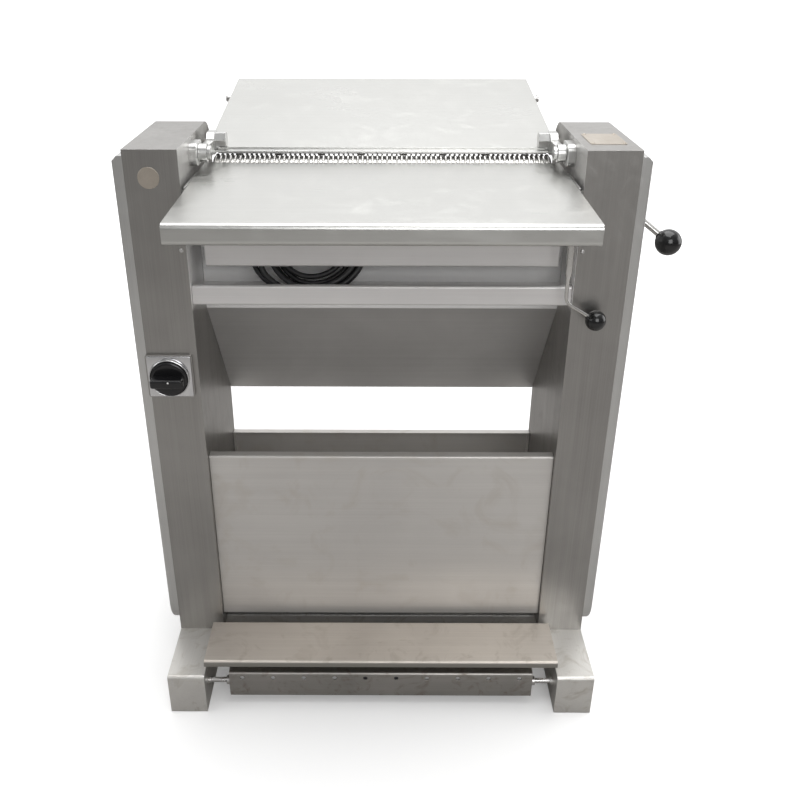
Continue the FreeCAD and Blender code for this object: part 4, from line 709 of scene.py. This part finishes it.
def make_switch():
    """Rotary switch: square plate with a raised bright ring, a dished black disc and its bar grip."""
    x, y, z = SWITCH_AT / MM
    half, thick = 31, 2
    grip_half, grip_low, grip_high, grip_rise = 23, 8.2, 27.3, 6.5
    dot_at = np.array((x + 3.0, y - 27.2, z + 3.2)) * MM
    plate = rounded(np.array((x - half, y, z - half)) * MM, np.array((x + half, y + thick, z + half)) * MM,
                    0.9 * MM)
    ring = [(0.2, 26.4), (5.2, 26.4), (6.2, 26.7), (6.5, 27.3), (6.0, 28.1), (4.6, 28.5), (0.2, 28.5),
            (0.2, 26.4)]
    piece("switch_ring_plate", [plate, turned(np.array(ring) * MM, SWITCH_AT, (0, -1, 0), 96)],
          "frame", CHROME, ["switch_escutcheon"])
    disc = [(0.4, 0), (0.4, 25.4), (1.2, 26), (6.2, 26), (8.2, 25.2), (9.2, 23.6), (9.4, 21.5), (8.9, 18),
            (8.7, 0)]
    spindle = [(-36.5, 0), (-36.5, 4), (0.6, 4), (0.6, 0)]
    grip = rounded(np.array((x - grip_half, y - grip_high, z - grip_rise)) * MM,
                   np.array((x + grip_half, y - grip_low, z + grip_rise)) * MM, 3.2 * MM, 6)
    piece("switch_grip", [turned(np.array(disc) * MM, SWITCH_AT, (0, -1, 0), 72),
                          turned(np.array(spindle) * MM, SWITCH_AT, (0, -1, 0), 24), grip],
          "switch_handle", SWITCH_BLACK, ["switch_knob"])
    dot = [(0, 0), (0, 1.5), (0.25, 1.3), (0.3, 0)]
    piece("switch_dot", [turned(np.array(dot) * MM, dot_at, (0, -1, 0), 20)],
          "switch_handle", DOT_WHITE)


# ---- screws and springs ------------------------------------------------------------------------
def make_screws():
    """Button-head screws of the covers and columns."""
    cover_face, column_line, column_face = 344.0, 265.8, -117.5
    # head radius and height, shank radius and length
    cover_size = np.array((4.8, 2.8, 2.5, 4.5)) * MM
    column_size = np.array((3.0, 1.6, 1.6, 2.5)) * MM
    grids = []
    for side in (-1, 1):
        for y, z in ((-95.5, 810), (95.5, 790), (-95.5, 135), (95.5, 135)):
            grids.append(socket_screw(np.array((side * cover_face, y, z)) * MM, (-side, 0, 0), *cover_size))
        for z in (730, 718):
            grids.append(socket_screw(np.array((side * column_line, column_face, z)) * MM, (0, 1, 0),
                                      *column_size))
    piece("cover_screws", grids, "frame", SCREW_STEEL, ["panel_screws"])


def make_springs():
    """Return springs of the pedal, wound on its shaft."""
    y, z = -141.5, 57.5       # the pedal shaft's line
    radius, wire, turns = 10.2 * MM, 1.7 * MM, 8
    grids = [spring_wire(np.array((x0, y, z)) * MM, np.array((x1, y, z)) * MM, radius, wire, turns)
             for x0, x1 in ((164, 192), (-192, -164))]
    piece("pedal_return_springs", grids, "frame", SPRING_STEEL, ["pedal_springs"])


# ---- cord fittings -----------------------------------------------------------------------------
def make_gland():
    """Cable gland: lock nut and thread in the wall, hexagon body, and a ribbed tapering nose."""
    steps = 60
    start = np.array((-266.3, -57.5, 745.0)) * MM
    outline = [(0, 0), (0, 10), (4.6, 10), (5, 9.4), (5, 7.5), (7.5, 7.5), (7.5, 9.5), (8.2, 9.7), (14, 9.7),
               (14.6, 9.4), (15.5, 9.3), (16, 8.6), (17, 8.6), (17.4, 8.0), (18.6, 8.0), (19, 7.4),
               (20.4, 7.4), (20.8, 6.8), (22.4, 6.8), (22.8, 6.2), (25.2, 6.0), (26.6, 5.5), (27.4, 4.6),
               (27.5, 0)]
    factor = np.ones((len(outline), steps))
    factor[7:10] = np.minimum(hexagon(steps), 1.135)
    factor[1:4] = np.minimum(hexagon(steps), 1.1)
    return piece("ribbed_gland", [turned(np.array(outline) * MM, start, (1, 0, 0), steps, factor)], "frame",
                 NYLON, ["cable_gland"])


def make_plug():
    """Round plug: ribbed neck, finger-grip body with shallow flutes, and two round pins."""
    steps = 60
    start = np.array((-66.0, -79.0, 735.2)) * MM
    outline = [(0, 0), (0, 4.6), (1.5, 5.0), (2, 5.6), (3.5, 5.8), (4, 5.3), (5.5, 5.6), (6, 6.4), (7.5, 6.6),
               (8, 6.1), (10, 7.0), (13, 10.0), (16, 11.6), (20, 12.2), (30, 12.6), (37, 13.0), (39, 12.8),
               (40, 12.0), (40, 0)]
    t = np.linspace(0, 2 * pi, steps, endpoint=False)
    factor = np.ones((len(outline), steps))
    factor[12:15] = 1 - 0.035 * (1 + np.cos(12 * t)) / 2
    body = piece("moulded_plug", [turned(np.array(outline) * MM, start, (1, 0, 0), steps, factor)], "frame",
                 PLUG_RUBBER, ["plug"])
    pin = [(40, 0), (40, 2), (56, 2), (57.4, 1.5), (58, 0)]
    pins = piece("plug_pins", [turned(np.array(pin) * MM, start + np.array((0, 0, dz * MM)), (1, 0, 0), 20)
                               for dz in (-6, 6)], "frame", PIN_BRASS)
    return body, pins


# ---- studio ------------------------------------------------------------------------------------
# name, place, the point it faces, side in metres, power in watts
LAMPS = (("top_lamp", (0.2, 0.25, 2.6), (0, 0, 0.5), 2.2, 44.0),
         ("front_lamp", (0.5, -2.5, 1.75), (0, 0, 0.6), 1.5, 24.0),
         ("left_lamp", (-2.2, -0.9, 1.7), (0, 0, 0.5), 1.4, 9.0),
         ("right_lamp", (2.3, 0.3, 1.0), (0, 0, 0.4), 1.4, 11.0))
FLOOR_SEEN, FLOOR_MIRRORED = (0.88, 0.88, 0.88, 1), (0.38, 0.37, 0.36, 1)
GLOW_REACH, GLOW = (0.9, 2.6), (0.16, 0.80)     # from this distance to that, from this strength to that


def make_studio():
    """A pale floor that runs far back, a sky that is bright above and behind and dim in front, and four
    large soft lamps.  Seen directly the floor is nearly white, and it glows more with the distance from
    the middle, so it meets the sky without a line; in reflections it is mid grey."""
    size = np.array([(-40, -12), (40, -12), (40, 60), (-40, 60)], float)
    under = 0.0006            # just below the skids
    mesh = bpy.data.meshes.new("pale_floor")
    mesh.from_pydata(np.c_[size, np.full(4, -under)].tolist(), [], [(0, 1, 2, 3)])
    floor = bpy.data.objects.new("pale_floor", mesh)
    scene.collection.objects.link(floor)
    finish = bpy.data.materials.new("studio_floor")
    finish.use_nodes = True
    tree = finish.node_tree
    tree.nodes.clear()
    seen = put(tree, "BsdfDiffuse", {"Color": FLOOR_SEEN})
    glow = put(tree, "Emission", {"Color": (1, 1, 1, 1)})
    away = put(tree, "VectorMath", operation="LENGTH")
    tree.links.new(put(tree, "TexCoord").outputs["Object"], away.inputs[0])
    tree.links.new(spread(tree, away.outputs["Value"], *GLOW_REACH, *GLOW), glow.inputs["Strength"])
    lit = put(tree, "AddShader")
    mirrored_tone = put(tree, "BsdfDiffuse", {"Color": FLOOR_MIRRORED})
    path = put(tree, "LightPath")
    chosen = put(tree, "MixShader")
    out = put(tree, "OutputMaterial")
    tree.links.new(seen.outputs[0], lit.inputs[0])
    tree.links.new(glow.outputs[0], lit.inputs[1])
    tree.links.new(path.outputs["Is Camera Ray"], chosen.inputs[0])
    tree.links.new(mirrored_tone.outputs[0], chosen.inputs[1])
    tree.links.new(lit.outputs[0], chosen.inputs[2])
    tree.links.new(chosen.outputs[0], out.inputs[0])
    mesh.materials.append(finish)

    world = bpy.data.worlds.new("studio_sky")
    scene.world = world
    scene.view_settings.view_transform = "Standard"
    world.use_nodes = True
    tree = world.node_tree
    sky = tree.nodes["Background"]
    toward = put(tree, "SeparateXYZ")
    tree.links.new(put(tree, "TexCoord").outputs["Generated"], toward.inputs[0])
    above = spread(tree, toward.outputs["Z"], 0.0, 1.0, 0.0, 0.35)
    behind = spread(tree, toward.outputs["Y"], -0.35, 0.75, 0.16, 0.95)
    level = sum_of(tree, "ADD", above, behind)
    path = put(tree, "LightPath")
    shown = put(tree, "Mix")
    tree.links.new(path.outputs["Is Camera Ray"], shown.inputs[0])
    tree.links.new(level, shown.inputs[2])
    shown.inputs[3].default_value = 1.0
    tree.links.new(shown.outputs[0], sky.inputs["Strength"])
    sky.inputs["Color"].default_value = (1.0, 1.0, 1.0, 1.0)

    for name, place, aim, size, power in LAMPS:
        lamp = bpy.data.lights.new(name, "AREA")
        lamp.size, lamp.energy = size, power
        thing = bpy.data.objects.new(name, lamp)
        scene.collection.objects.link(thing)
        direction = np.array(aim) - np.array(place)
        thing.location = place
        thing.rotation_euler = Vector(direction.tolist()).to_track_quat("-Z", "Y").to_euler()


dress_nodes()
lead, lead_exit, lead_length = lay_cord()
lead.data.materials.append(CABLE_RUBBER)
gland = make_gland()
plug_body, plug_pins = make_plug()
make_tooth_roller()
make_lift_lever()
make_thickness_lever()
make_switch()
make_screws()
make_springs()
make_studio()
